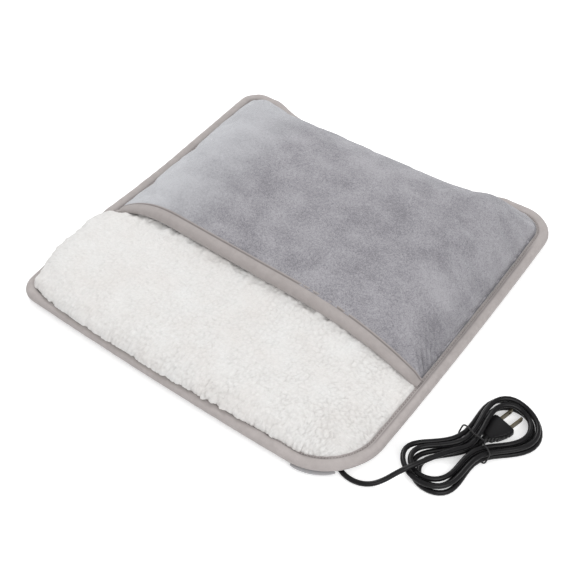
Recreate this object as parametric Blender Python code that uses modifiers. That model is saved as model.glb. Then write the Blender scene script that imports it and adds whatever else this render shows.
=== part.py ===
"""Electric foot warmer: a heated, quilted base with a puffed pocket sewn over its back part."""
import math

import bmesh
import bpy
import numpy as np
from mathutils import Matrix, Vector

# Overall size of the pad, over the tape that binds its edge
PAD_WIDTH = 0.400
PAD_DEPTH = 0.416
FRONT_LEFT_RADIUS = 0.031
FRONT_RIGHT_RADIUS = 0.064
BACK_RIGHT_RADIUS = 0.040
BACK_LEFT_RADIUS = 0.036
FRONT_BELLY = 0.0015
RIGHT_BELLY = 0.0035
FRONT_TAPER = 0.0154
BACK_TAPER = 0.0098
BACK_WAIST = 0.0148
WAIST_X = -0.018
WAIST_REACH = 0.150
MOUTH_SETBACK = 0.144

# Gaps between neighbours
CLEARANCE = 0.0003
OVERRUN = 0.002

# Edge tape and the seam that it grips
SEAM_HEIGHT = 0.010
SEAM_GRIP = 0.0056
TAPE_THICKNESS = 0.0012
TAPE_WIDTH = 0.013
RIM_CLEARANCE = 0.0010
FOLD_STEPS = 4

# Base: panel, wadding, heater, wadding, sherpa
PANEL_THICKNESS = 0.0012
LOWER_WADDING_TOP = 0.0110
FELT_THICKNESS = 0.0012
WIRE_DIAMETER = 0.0018
SHERPA_THICKNESS = 0.0080
BASE_SHOULDER = 0.0308
BASE_CROWN = 0.0030
FLANK_RUN = 0.045
REAR_RUN = 0.070
REAR_CORNER_DROP = 0.3
FLANK_STEEPNESS = 3.2

# Pocket cover: lining, wadding, flannel
COVER_SETBACK = 0.0015
COVER_GAP = 0.0006
POCKET_HEIGHT = 0.009
COVER_THICKNESS = 0.020
COVER_RIM_THICKNESS = 0.0040
COVER_DOME = 0.0040
LINING_THICKNESS = 0.0060
FLANNEL_THICKNESS = 0.0016
SKIN_RIM_THICKNESS = 0.0010
MOUTH_RUN = 0.055
MOUTH_PLUMPNESS_SHARE = 0.28

# Tape on the pocket's mouth
MOUTH_TAPE_WIDTH = 0.0105
MOUTH_TAPE_THICKNESS = 0.0010

# Where the quilted layers bend: shares of the flank's run, and counts between
FLANK_STEP_SHARES = (0.16, 0.45, 1.0)
MIDDLE_COLUMNS = 8
FRONT_ROWS = 3
COVER_ROWS = 6
CORNER_STEPS = 8
SIDE_STEP_LEAST = 0.006

# Heating element
HEATER_MARGIN = 0.040
HEATER_FRONT_MARGIN = 0.047
HEATER_BACK_MARGIN = 0.056
HEATER_CORNER = 0.028
WIRE_MARGIN = 0.012
WIRE_RUNS = 10
WIRE_BEND_STEPS = 6
WIRE_DROP_RADIUS = 0.0035
WIRE_HOLE_CLEARANCE = 0.0006

# Terminals in the lower wadding, in line with the cord at the front right corner
TERMINAL_SIDE_INSET = 0.0605
TERMINAL_FRONT_INSET = 0.0580
TERMINAL_HEIGHT = 0.0062
TERMINAL_POCKET_LENGTH = 0.066
TERMINAL_POCKET_WIDTH = 0.031
TERMINAL_POCKET_BACK = 0.0105
CLAMP_LENGTH = 0.016
CLAMP_WIDTH = 0.017
CLAMP_HEIGHT = 0.0086
CLAMP_ROUND = 0.0012
CLAMP_BORE_CLEARANCE = 0.0004
SCREW_SPREAD = 0.0112
SCREW_SHANK_DIAMETER = 0.0022
SCREW_HEAD_DIAMETER = 0.0040
SCREW_HEAD_HEIGHT = 0.0012
SCREW_FLOOR = 0.0010
CORE_DIAMETER = 0.0020
CORE_SPREAD = 0.0026
CHAIN_SPREAD = 0.0160
CORE_REACH = 0.0125
SPLICE_LENGTH = 0.0080
SPLICE_DIAMETER = 0.0034
THERMOSTAT_LENGTH = 0.0170
THERMOSTAT_WIDTH = 0.0066
THERMOSTAT_HEIGHT = 0.0034
FUSE_LENGTH = 0.0110
FUSE_DIAMETER = 0.0038
SLEEVE_WALL = 0.0004
SLEEVE_LIP = 0.0015
SLEEVE_ROUND = 0.0012

# Mains cord
CORD_DIAMETER = 0.0050
CORD_HOLE_CLEARANCE = 0.0004
CORD_STEP = 0.012
CORD_SPLIT = 0.085
HANK_OUT = 0.0620
HANK_FRONT_INSET = 0.1075
HANK_TURN = math.radians(67)
HANK_FLOOR = 0.0026
HANK_LOOPS = 4
HANK_LOOP_POINTS = 24
HANK_PITCH = 0.0057
HANK_LAYER = 0.0060
HANK_FAR_REACH = 0.0733
HANK_NEAR_REACH = 0.0596
HANK_FAR_BREADTH = 0.0462
HANK_NEAR_BREADTH = 0.0390
HANK_WAIST = 0.0100
HANK_WAIST_PITCH = 0.0071
HANK_NARROWING = 1.96
HANK_FAR_LEAN = 0.0030
HANK_NEAR_LEAN = 0.0069
HANK_RIDE = 0.0049
HANK_LIFT = 0.0029
HANK_LIFT_REACH = 0.032

# The cord's own route from the hank's waist to the clamp, from the pad's front right corner
LEAD_ROUTE = (
    (0.0544, 0.0977, 0.0129),
    (0.0475, 0.0865, 0.0144),
    (0.0409, 0.0752, 0.0151),
    (0.0351, 0.0646, 0.0153),
    (0.0288, 0.0543, 0.0147),
    (0.0220, 0.0452, 0.0106),
    (0.0155, 0.0358, 0.0060),
    (0.0083, 0.0277, 0.0034),
    (-0.0013, 0.0224, 0.0027),
    (-0.0130, 0.0212, 0.0027),
    (-0.0236, 0.0244, 0.0027),
    (-0.0320, 0.0305, 0.0029),
    (-0.0400, 0.0377, 0.0042),
    (-0.0480, 0.0455, 0.0058),
)

# Twist tie round the hank's waist, in the hank's own directions
TIE_DIAMETER = 0.0016
TIE_SIDE_ALONG = 0.0030
TIE_TOP_ALONG = 0.0095
TIE_ASIDE = 0.0022
TIE_HALF_WIDTH = 0.0198
TIE_TOP = 0.0163
TIE_STEPS = 28
TIE_SQUARENESS = 0.42
TIE_KNOT_ASIDE = -0.0045
TIE_TWIST_RADIUS = 0.0011
TIE_TWIST_STEPS = 14
TIE_TWIST_TURNS = 1.75
TIE_TWIST_START = (0.0135, -0.0045, 0.0162)
TIE_TWIST_END = (0.0240, -0.0090, 0.0148)
TIE_TAIL = (0.0075, -0.0010, -0.0004)

# Two-pin plug inside the far loop
PLUG_OUT = 0.0706
PLUG_FRONT_INSET = 0.1413
PLUG_TURN = math.radians(74)
PLUG_LENGTH = 0.0240
PLUG_FRONT_WIDTH = 0.0250
PLUG_REAR_WIDTH = 0.0125
PLUG_FRONT_THICKNESS = 0.0100
PLUG_REAR_THICKNESS = 0.0074
PLUG_ROUND = 0.0022
PLUG_FLOOR = 0.0004
NECK_LENGTH = 0.0110
NECK_FRONT_DIAMETER = 0.0070
NECK_REAR_DIAMETER = 0.0062
NECK_RINGS = 3
NECK_GROOVE = 0.0004
BLADE_SPACING = 0.0127
BLADE_WIDTH = 0.0063
BLADE_THICKNESS = 0.0015
BLADE_REACH = 0.0160
BLADE_SEAT = 0.0060
BLADE_TIP = 0.0015
BLADE_HOLE_DIAMETER = 0.0032
BLADE_HOLE_SETBACK = 0.0040

HALF_WIDTH = PAD_WIDTH / 2
HALF_DEPTH = PAD_DEPTH / 2
MOUTH_Y = MOUTH_SETBACK - HALF_DEPTH
TERMINAL_X = HALF_WIDTH - TERMINAL_SIDE_INSET
TERMINAL_Y = TERMINAL_FRONT_INSET - HALF_DEPTH
HANK_X = HALF_WIDTH + HANK_OUT
HANK_Y = HANK_FRONT_INSET - HALF_DEPTH
PLUG_X = HALF_WIDTH + PLUG_OUT
PLUG_Y = PLUG_FRONT_INSET - HALF_DEPTH
FOLD_RADIUS = SEAM_GRIP / 2 + TAPE_THICKNESS
RIM_INSET = FOLD_RADIUS + RIM_CLEARANCE
COVER_INSET = TAPE_WIDTH + COVER_SETBACK
SEAM_LAYER = (SEAM_GRIP - 5 * CLEARANCE) / 4
SEAM_FLOOR = SEAM_HEIGHT - SEAM_GRIP / 2 + CLEARANCE
SEAM_TOP = SEAM_HEIGHT + SEAM_GRIP / 2 - CLEARANCE
HEATER_MIDDLE_Y = (HEATER_FRONT_MARGIN - HEATER_BACK_MARGIN) / 2
HEATER_FLOOR = LOWER_WADDING_TOP + CLEARANCE
WIRE_HEIGHT = HEATER_FLOOR + FELT_THICKNESS + CLEARANCE + WIRE_DIAMETER / 2
HEATER_TOP = WIRE_HEIGHT + WIRE_DIAMETER / 2 + CLEARANCE + FELT_THICKNESS + CLEARANCE


def start_scene():
    """Empties the scene and makes one collection for the part and one for its cutters."""
    for thing in list(bpy.data.objects):
        bpy.data.objects.remove(thing, do_unlink=True)
    for name in ("foot_warmer", "cutters"):
        shelf = bpy.data.collections.new(name)
        bpy.context.scene.collection.children.link(shelf)


def keep(name, mesh, material, shelf="foot_warmer"):
    """Puts a mesh in the scene as a named object of one material."""
    thing = bpy.data.objects.new(name, mesh)
    bpy.data.collections[shelf].objects.link(thing)
    if material:
        mesh.materials.clear()
        mesh.materials.append(material)
    mesh.shade_smooth()
    mesh.set_sharp_from_angle(angle=math.radians(40))
    return thing


def finish_material(name, colour, roughness, metallic=0.0):
    """A Principled material of one colour."""
    material = bpy.data.materials.new(name)
    material.use_nodes = True
    shader = material.node_tree.nodes["Principled BSDF"]
    shader.inputs["Base Color"].default_value = (*colour, 1.0)
    shader.inputs["Roughness"].default_value = roughness
    shader.inputs["Metallic"].default_value = metallic
    return material


def corner_radius(x, y):
    """The plan radius of the corner that a place belongs to."""
    if y < 0:
        return FRONT_RIGHT_RADIUS if x > 0 else FRONT_LEFT_RADIUS
    return BACK_RIGHT_RADIUS if x > 0 else BACK_LEFT_RADIUS


def bellied(x, y):
    """Bows the front and right edges out, and draws the back and the front left in."""
    across = 1 - (x / HALF_WIDTH) ** 2
    along = 1 - (y / HALF_DEPTH) ** 2
    leftward = (HALF_WIDTH - x) / (2 * HALF_WIDTH)
    if y > 0:
        waist = BACK_WAIST * smoothstep(1 - ((x - WAIST_X) / WAIST_REACH) ** 4)
        y -= (waist + BACK_TAPER * leftward) * smoothstep(y / (HALF_DEPTH - COVER_INSET))
    else:
        share = (MOUTH_Y - y) / (HALF_DEPTH - COVER_INSET + MOUTH_Y)
        y += FRONT_TAPER * leftward ** 1.8 * smoothstep(share)
    if x > 0:
        x += RIGHT_BELLY * along * x / HALF_WIDTH
    if y < 0:
        y += FRONT_BELLY * across * y / HALF_DEPTH
    return x - RIGHT_BELLY, y + FRONT_BELLY / 2


def plan(x, y):
    """Moves a place of the square pad to the sewn outline, whose corners are round."""
    radius = corner_radius(x, y)
    over_x = abs(x) - (HALF_WIDTH - radius)
    over_y = abs(y) - (HALF_DEPTH - radius)
    if over_x > 0 and over_y > 0:
        reach = max(over_x, over_y)
        if over_x >= over_y:
            turn = math.pi / 4 * over_y / over_x
        else:
            turn = math.pi / 2 - math.pi / 4 * over_x / over_y
        x = math.copysign(HALF_WIDTH - radius + reach * math.cos(turn), x)
        y = math.copysign(HALF_DEPTH - radius + reach * math.sin(turn), y)
    return bellied(x, y)


def side_inset(x):
    return HALF_WIDTH - abs(x)


def edge_inset(x, y):
    return min(side_inset(x), HALF_DEPTH - abs(y))


def rise(inset, run=FLANK_RUN):
    """How far a quilted flank has risen at this distance from the pad's edge, 0 to 1."""
    share = min(max((inset - COVER_INSET) / run, 0), 1)
    return 1 - (1 - share) ** FLANK_STEEPNESS


def settle(x, y, step_share):
    """0 in the seam and 1 from the given share of the flank's run inward."""
    return min(max((edge_inset(x, y) - COVER_INSET) / (FLANK_RUN * step_share), 0), 1)


def rear_rise(x, y):
    """The rear flank's rise, which is lower towards the back corners."""
    drop = REAR_CORNER_DROP * (x / HALF_WIDTH) ** 2 * (max(y, 0) / HALF_DEPTH) ** 2
    return rise(HALF_DEPTH - y, REAR_RUN) * (1 - drop)


def base_puff(x, y):
    return rise(side_inset(x)) * (rear_rise(x, y) if y > 0 else rise(HALF_DEPTH + y))


def cover_puff(x, y):
    return rise(side_inset(x)) * rear_rise(x, y)


def seam_level(layer):
    """Height of the underside of one of the four layers that the edge tape grips."""
    return SEAM_FLOOR + layer * (SEAM_LAYER + CLEARANCE)


def mix(start, end, share):
    return start + (end - start) * share


def panel_low(x, y):
    return mix(seam_level(0), 0, settle(x, y, FLANK_STEP_SHARES[0]))


def panel_high(x, y):
    thickness = mix(SEAM_LAYER, PANEL_THICKNESS, settle(x, y, FLANK_STEP_SHARES[0]))
    return panel_low(x, y) + thickness


def lower_wadding_low(x, y):
    return panel_high(x, y) + CLEARANCE


def lower_wadding_high(x, y):
    return mix(seam_level(1) + SEAM_LAYER, LOWER_WADDING_TOP, settle(x, y, FLANK_STEP_SHARES[1]))


def upper_wadding_low(x, y):
    return mix(seam_level(2), HEATER_TOP, settle(x, y, FLANK_STEP_SHARES[1]))


def base_top(x, y):
    crown = BASE_CROWN * (1 - (x / HALF_WIDTH) ** 2) * (1 - (y / HALF_DEPTH) ** 2)
    return SEAM_TOP + (BASE_SHOULDER - SEAM_TOP + crown) * base_puff(x, y)


def sherpa_low(x, y):
    return base_top(x, y) - mix(SEAM_LAYER, SHERPA_THICKNESS, base_puff(x, y))


def upper_wadding_high(x, y):
    return sherpa_low(x, y) - mix(CLEARANCE, COVER_GAP, settle(x, y, FLANK_STEP_SHARES[0]))


def cover_low(x, y):
    """Underside of the pocket's cover, lifted at the mouth by the tape that wraps it."""
    gap = mix(COVER_GAP, POCKET_HEIGHT, cover_puff(x, y))
    if y < MOUTH_Y + MOUTH_TAPE_WIDTH + CLEARANCE:
        gap = max(gap, MOUTH_TAPE_THICKNESS + 4 * COVER_GAP)
    return base_top(x, y) + gap


def cover_thickness(x, y):
    share = min(max((y - MOUTH_Y) / MOUTH_RUN, 0), 1)
    plumpness = mix(MOUTH_PLUMPNESS_SHARE, 1, math.sin(share * math.pi / 2))
    depth = max(y - MOUTH_Y, 0) / (HALF_DEPTH - MOUTH_Y)
    dome = COVER_DOME * (1 - (x / HALF_WIDTH) ** 2) * math.sin(depth * math.pi)
    puff = cover_puff(x, y)
    return mix(COVER_RIM_THICKNESS, COVER_THICKNESS, puff * plumpness) + dome * puff


def cover_high(x, y):
    return cover_low(x, y) + cover_thickness(x, y)


def skin_thickness(x, y, full):
    """A skin of the cover, squeezed thin at the seam and at the mouth."""
    plump = (cover_thickness(x, y) - COVER_RIM_THICKNESS) / (COVER_THICKNESS - COVER_RIM_THICKNESS)
    return mix(SKIN_RIM_THICKNESS, full, plump)


def lining_high(x, y):
    return cover_low(x, y) + skin_thickness(x, y, LINING_THICKNESS)


def cover_wadding_low(x, y):
    return lining_high(x, y) + COVER_GAP


def flannel_low(x, y):
    return cover_high(x, y) - skin_thickness(x, y, FLANNEL_THICKNESS)


def cover_wadding_high(x, y):
    return flannel_low(x, y) - COVER_GAP


def flank_insets(first):
    """Distances from the edge at which the flank's rows of the quilt lie."""
    return [first] + [COVER_INSET + FLANK_RUN * share for share in FLANK_STEP_SHARES]


def quilt_columns(first):
    """Places along X of the quilt's columns, from the left edge to the right."""
    insets = flank_insets(first)
    left = [inset - HALF_WIDTH for inset in insets]
    middle = list(np.linspace(left[-1], -left[-1], MIDDLE_COLUMNS + 1))[1:-1]
    return left + middle + [-x for x in reversed(left)]


def rear_rows(first):
    insets = flank_insets(first) + [COVER_INSET + REAR_RUN]
    return [HALF_DEPTH - inset for inset in reversed(insets)]


def cover_rows():
    """Places along Y of the cover's rows, from the mouth to the rear seam."""
    rear = rear_rows(COVER_INSET)
    tape_row = MOUTH_Y + MOUTH_TAPE_WIDTH
    middle = list(np.linspace(tape_row, rear[0], COVER_ROWS))
    return [MOUTH_Y] + middle[:-1] + rear


def base_columns():
    return [RIM_INSET - HALF_WIDTH] + quilt_columns(COVER_INSET) + [HALF_WIDTH - RIM_INSET]


def base_rows():
    front = [RIM_INSET - HALF_DEPTH]
    front += [inset - HALF_DEPTH for inset in flank_insets(COVER_INSET)]
    middle = list(np.linspace(front[-1], MOUTH_Y, FRONT_ROWS + 1))[1:-1]
    return front + middle + cover_rows() + [HALF_DEPTH - RIM_INSET]


def grid_mesh(columns, rows, place):
    """A grid whose vertex (i, j) lies at place(i, j), each cell cut along the same diagonal."""
    bm = bmesh.new()
    bmesh.ops.create_grid(bm, x_segments=columns - 1, y_segments=rows - 1, size=1)
    for vertex in bm.verts:
        i = round((vertex.co.x + 1) / 2 * (columns - 1))
        j = round((vertex.co.y + 1) / 2 * (rows - 1))
        vertex.co = place(i, j)
    bmesh.ops.triangulate(bm, faces=bm.faces[:], quad_method="FIXED")
    return bm


def quilt_layer(name, columns, rows, low, high, material):
    """One layer of the quilt, closed between its lower and its upper surface."""
    def under(i, j):
        return (*plan(columns[i], rows[j]), low(columns[i], rows[j]))

    lift = {}
    for x in columns:
        for y in rows:
            key = tuple(np.float32(value) for value in (*plan(x, y), low(x, y)))
            lift[key] = high(x, y)
    bm = grid_mesh(len(columns), len(rows), under)
    rims = [edge for edge in bm.edges if edge.is_boundary]
    copy = bmesh.ops.duplicate(bm, geom=bm.faces[:])
    upper = [item for item in copy["geom"] if isinstance(item, bmesh.types.BMVert)]
    for vertex in upper:
        vertex.co.z = lift[tuple(np.float32(value) for value in vertex.co)]
    upper_rims = [item for item in copy["geom"]
                  if isinstance(item, bmesh.types.BMEdge) and item.is_boundary]
    bmesh.ops.bridge_loops(bm, edges=rims + upper_rims)
    bmesh.ops.recalc_face_normals(bm, faces=bm.faces[:])
    mesh = bpy.data.meshes.new(name)
    bm.to_mesh(mesh)
    bm.free()
    return keep(name, mesh, material)


def mouth_binding(material):
    """Tape folded round the cover's front edge, from seam to seam."""
    columns = quilt_columns(COVER_INSET)
    back = MOUTH_Y + MOUTH_TAPE_WIDTH
    nose = MOUTH_Y - CLEARANCE

    def place(i, j):
        x = columns[i]
        y = (back, nose, nose, back)[j]
        cover_y = max(y, MOUTH_Y)
        if j < 2:
            return (*plan(x, y), cover_low(x, cover_y) - COVER_GAP)
        return (*plan(x, y), cover_high(x, cover_y) + COVER_GAP)

    bm = grid_mesh(len(columns), 4, place)
    mesh = bpy.data.meshes.new("mouth_binding")
    bm.to_mesh(mesh)
    bm.free()
    thing = keep("mouth_binding", mesh, material)
    wall = thing.modifiers.new("tape", "SOLIDIFY")
    wall.thickness = MOUTH_TAPE_THICKNESS
    wall.offset = 1
    wall.use_quality_normals = True
    return thing


def side_points(start, end):
    """Places on one straight side of the square pad, where the quilt's lines meet it."""
    axis = 0 if abs(end[0] - start[0]) > abs(end[1] - start[1]) else 1
    low, high = sorted((start[axis], end[axis]))
    lines = quilt_columns(COVER_INSET) if axis == 0 else base_rows()
    met = sorted(line for line in lines if low + SIDE_STEP_LEAST < line < high - SIDE_STEP_LEAST)
    if start[axis] > end[axis]:
        met.reverse()
    return [(line, start[1]) if axis == 0 else (start[0], line) for line in met]


def edge_path():
    """The pad's outermost line, corner by corner, on the seam's height."""
    corners = (
        (-1, -1, FRONT_LEFT_RADIUS, math.pi),
        (1, -1, FRONT_RIGHT_RADIUS, 1.5 * math.pi),
        (1, 1, BACK_RIGHT_RADIUS, 0),
        (-1, 1, BACK_LEFT_RADIUS, math.pi / 2),
    )
    square = []
    for side_x, side_y, radius, start in corners:
        centre_x = side_x * (HALF_WIDTH - radius)
        centre_y = side_y * (HALF_DEPTH - radius)
        for step in range(CORNER_STEPS + 1):
            angle = start + math.pi / 2 * step / CORNER_STEPS
            square.append((centre_x + radius * math.cos(angle), centre_y + radius * math.sin(angle)))
    path = []
    for index, point in enumerate(square):
        path.append(point)
        if index % (CORNER_STEPS + 1) == CORNER_STEPS:
            path += side_points(point, square[(index + 1) % len(square)])
    return [(*bellied(x, y), SEAM_HEIGHT) for x, y in path]


def fold_profile():
    """The edge tape's section: two legs and a round fold, drawn from the outermost line inward."""
    outer, inner = [], []
    for step in range(FOLD_STEPS + 1):
        angle = math.pi / 2 + math.pi * step / FOLD_STEPS
        outer.append((FOLD_RADIUS + FOLD_RADIUS * math.cos(angle), FOLD_RADIUS * math.sin(angle)))
        grip = SEAM_GRIP / 2
        inner.append((FOLD_RADIUS + grip * math.cos(angle), grip * math.sin(angle)))
    legs = [(TAPE_WIDTH, -FOLD_RADIUS), (TAPE_WIDTH, -SEAM_GRIP / 2)]
    ends = [(TAPE_WIDTH, SEAM_GRIP / 2), (TAPE_WIDTH, FOLD_RADIUS)]
    section = outer + legs + list(reversed(inner)) + ends
    return [(-inward, height) for inward, height in section]


def poly_curve(name, points, closed=False):
    """A curve object on a POLY spline through the points."""
    curve = bpy.data.curves.new(name, "CURVE")
    curve.dimensions = "3D"
    spline = curve.splines.new("POLY")
    spline.points.add(len(points) - 1)
    for slot, point in zip(spline.points, points):
        slot.co = (*point, 1)
    spline.use_cyclic_u = closed
    return curve


def edge_binding(material):
    """Tape folded round the whole edge, swept along it."""
    section = poly_curve("fold_profile", [(x, y, 0) for x, y in fold_profile()], closed=True)
    section.dimensions = "2D"
    profile = bpy.data.objects.new("fold_profile", section)
    bpy.data.collections["cutters"].objects.link(profile)
    curve = poly_curve("edge_binding", edge_path(), closed=True)
    curve.twist_mode = "Z_UP"
    curve.bevel_mode = "OBJECT"
    curve.bevel_object = profile
    guide = bpy.data.objects.new("edge_guide", curve)
    bpy.data.collections["cutters"].objects.link(guide)
    thing = keep("edge_binding", curve_mesh(guide), material)
    bpy.data.objects.remove(profile, do_unlink=True)
    return thing


def curve_mesh(guide):
    """The mesh of a curve object, welded and facing out; the curve itself is removed."""
    bpy.context.view_layer.update()
    graph = bpy.context.evaluated_depsgraph_get()
    mesh = bpy.data.meshes.new_from_object(guide.evaluated_get(graph))
    mesh.transform(guide.matrix_world)
    bm = bmesh.new()
    bm.from_mesh(mesh)
    bmesh.ops.remove_doubles(bm, verts=bm.verts[:], dist=CLEARANCE / 30)
    bmesh.ops.recalc_face_normals(bm, faces=bm.faces[:])
    bm.to_mesh(mesh)
    bm.free()
    bpy.data.objects.remove(guide, do_unlink=True)
    return mesh


def tube(name, points, diameter, material, sides=1, shelf="foot_warmer"):
    """A round tube with filled ends along the points."""
    curve = poly_curve(name, points)
    curve.bevel_depth = diameter / 2
    curve.bevel_resolution = sides
    curve.use_fill_caps = True
    guide = bpy.data.objects.new(name + "_guide", curve)
    bpy.data.collections["cutters"].objects.link(guide)
    return keep(name, curve_mesh(guide), material, shelf)


def hide_cutter(thing):
    thing.hide_render = True
    thing.display_type = "WIRE"
    return thing


def cut(thing, cutter):
    """Takes a cutter's shape out of a piece."""
    boolean = thing.modifiers.new("cut", "BOOLEAN")
    boolean.operation = "DIFFERENCE"
    boolean.object = hide_cutter(cutter)


def block(name, size, matrix, material, rounding=0.0, steps=2, shelf="foot_warmer"):
    """A box of this size, with its edges rounded, placed by a matrix."""
    bm = bmesh.new()
    bmesh.ops.create_cube(bm, size=1)
    bmesh.ops.scale(bm, vec=size, verts=bm.verts[:])
    if rounding:
        bmesh.ops.bevel(bm, geom=bm.edges[:], offset=rounding, segments=steps, profile=0.5,
                        affect="EDGES")
    bmesh.ops.transform(bm, matrix=matrix, verts=bm.verts[:])
    mesh = bpy.data.meshes.new(name)
    bm.to_mesh(mesh)
    bm.free()
    return keep(name, mesh, material, shelf)


def rod(name, diameter, length, matrix, material, sides=16, shelf="foot_warmer"):
    """A cylinder along its own Z, centred on the matrix."""
    bm = bmesh.new()
    bmesh.ops.create_cone(bm, cap_ends=True, segments=sides, radius1=diameter / 2,
                          radius2=diameter / 2, depth=length)
    bmesh.ops.transform(bm, matrix=matrix, verts=bm.verts[:])
    mesh = bpy.data.meshes.new(name)
    bm.to_mesh(mesh)
    bm.free()
    return keep(name, mesh, material, shelf)


def turned(name, outline, matrix, material, steps=12):
    """A piece turned about its own Z from an outline of (radius, height), top to bottom."""
    bm = bmesh.new()
    vertices = [bm.verts.new((radius, 0, height)) for radius, height in outline]
    for first, second in zip(vertices, vertices[1:]):
        bm.edges.new((first, second))
    mesh = bpy.data.meshes.new(name)
    bm.to_mesh(mesh)
    bm.free()
    thing = keep(name, mesh, material)
    screw = thing.modifiers.new("turn", "SCREW")
    screw.steps = steps
    screw.render_steps = steps
    screw.use_merge_vertices = True
    screw.merge_threshold = CLEARANCE / 30
    thing.matrix_world = matrix
    return thing


def outline_plate(name, outline, low, thickness, material):
    """A flat plate of this outline, made by extruding a filled curve."""
    curve = bpy.data.curves.new(name, "CURVE")
    curve.dimensions = "2D"
    curve.fill_mode = "BOTH"
    curve.extrude = thickness / 2
    spline = curve.splines.new("POLY")
    spline.points.add(len(outline) - 1)
    for slot, (x, y) in zip(spline.points, outline):
        slot.co = (x, y, 0, 1)
    spline.use_cyclic_u = True
    guide = bpy.data.objects.new(name + "_guide", curve)
    guide.location.z = low + thickness / 2
    bpy.data.collections["cutters"].objects.link(guide)
    return keep(name, curve_mesh(guide), material)


def round_rectangle(half_x, half_y, radius, steps):
    outline = []
    for quarter in range(4):
        side_x = 1 if quarter in (0, 3) else -1
        side_y = 1 if quarter in (0, 1) else -1
        for step in range(steps + 1):
            angle = math.pi / 2 * (quarter + step / steps)
            outline.append((side_x * (half_x - radius) + radius * math.cos(angle),
                            side_y * (half_y - radius) + radius * math.sin(angle)))
    return outline


def terminal_frame(along=0.0, aside=0.0, height=TERMINAL_HEIGHT):
    """A frame at the terminals: X runs inward along the cord's line, Z is up."""
    inward = Vector((-1, 1, 0)).normalized()
    aside_axis = Vector((-1, -1, 0)).normalized()
    origin = Vector((TERMINAL_X, TERMINAL_Y, height)) + inward * along + aside_axis * aside
    matrix = Matrix.Identity(4)
    matrix.col[0].xyz = inward
    matrix.col[1].xyz = aside_axis
    matrix.col[3].xyz = origin
    return matrix


def lying(matrix):
    """Turns a rod's Z to the frame's X."""
    return matrix @ Matrix.Rotation(math.pi / 2, 4, "Y")


def quilt_base(materials):
    """The base's cloth and wadding layers, bottom to top."""
    columns, rows = base_columns(), base_rows()
    panel = quilt_layer("bottom_panel", columns, rows, panel_low, panel_high, materials["underside"])
    wadding = quilt_layer("base_wadding", columns, rows, lower_wadding_low, lower_wadding_high,
                          materials["wadding"])
    quilt_layer("top_wadding", columns, rows, upper_wadding_low, upper_wadding_high,
                materials["wadding"])
    quilt_layer("sherpa_base", columns, rows, sherpa_low, base_top, materials["sherpa"])
    bore = CORD_DIAMETER + 2 * CORD_HOLE_CLEARANCE
    channel = tube("cord_channel", lead_to_clamp(), bore, None, sides=2, shelf="cutters")
    cut(panel, channel)
    cut(wadding, channel)
    room = TERMINAL_POCKET_LENGTH / 2 - TERMINAL_POCKET_BACK
    depth = LOWER_WADDING_TOP
    pocket = block("terminal_pocket", (TERMINAL_POCKET_LENGTH, TERMINAL_POCKET_WIDTH, depth + OVERRUN),
                   terminal_frame(room, 0, PANEL_THICKNESS + (depth + OVERRUN) / 2 - OVERRUN / 2),
                   None, shelf="cutters")
    cut(wadding, pocket)


def quilt_cover(materials):
    """The pocket's lining, wadding and flannel, with the tape on their front edge."""
    columns, rows = quilt_columns(COVER_INSET), cover_rows()
    quilt_layer("pocket_lining", columns, rows, cover_low, lining_high, materials["sherpa"])
    quilt_layer("cover_wadding", columns, rows, cover_wadding_low, cover_wadding_high,
                materials["wadding"])
    quilt_layer("flannel_cover", columns, rows, flannel_low, cover_high, materials["flannel"])
    mouth_binding(materials["tape"])


def chain_end(aside, reach):
    """Where a chain of terminal pieces hands over to the heating wire."""
    return terminal_frame(CLAMP_LENGTH / 2 + CORE_REACH + reach, aside).to_translation()


def fuse_reach():
    return SPLICE_LENGTH + FUSE_LENGTH + 3 * CLEARANCE


def thermostat_reach():
    return SPLICE_LENGTH + THERMOSTAT_LENGTH + 3 * CLEARANCE


def wire_drop(end, away):
    """Points that bring the wire down from its plane, where it comes from, to a chain's end."""
    inward = terminal_frame().col[0].xyz
    up = Vector((0, 0, 1))
    bend = WIRE_DROP_RADIUS
    corner = bend * (1 - math.sqrt(0.5))
    drop = end + inward * 2 * bend
    top = Vector((drop.x, drop.y, WIRE_HEIGHT))
    return [top + away * bend, top + (away - up) * corner, top - up * bend, drop + up * bend,
            drop + (up - inward) * corner, drop - inward * bend, end.copy()]


def wire_drops():
    """Both ends of the heating wire, each from its plane down to a terminal chain."""
    aside = terminal_frame().col[1].xyz
    return (wire_drop(chain_end(CHAIN_SPREAD / 2, fuse_reach()), aside),
            wire_drop(chain_end(-CHAIN_SPREAD / 2, thermostat_reach()), -aside))


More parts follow.
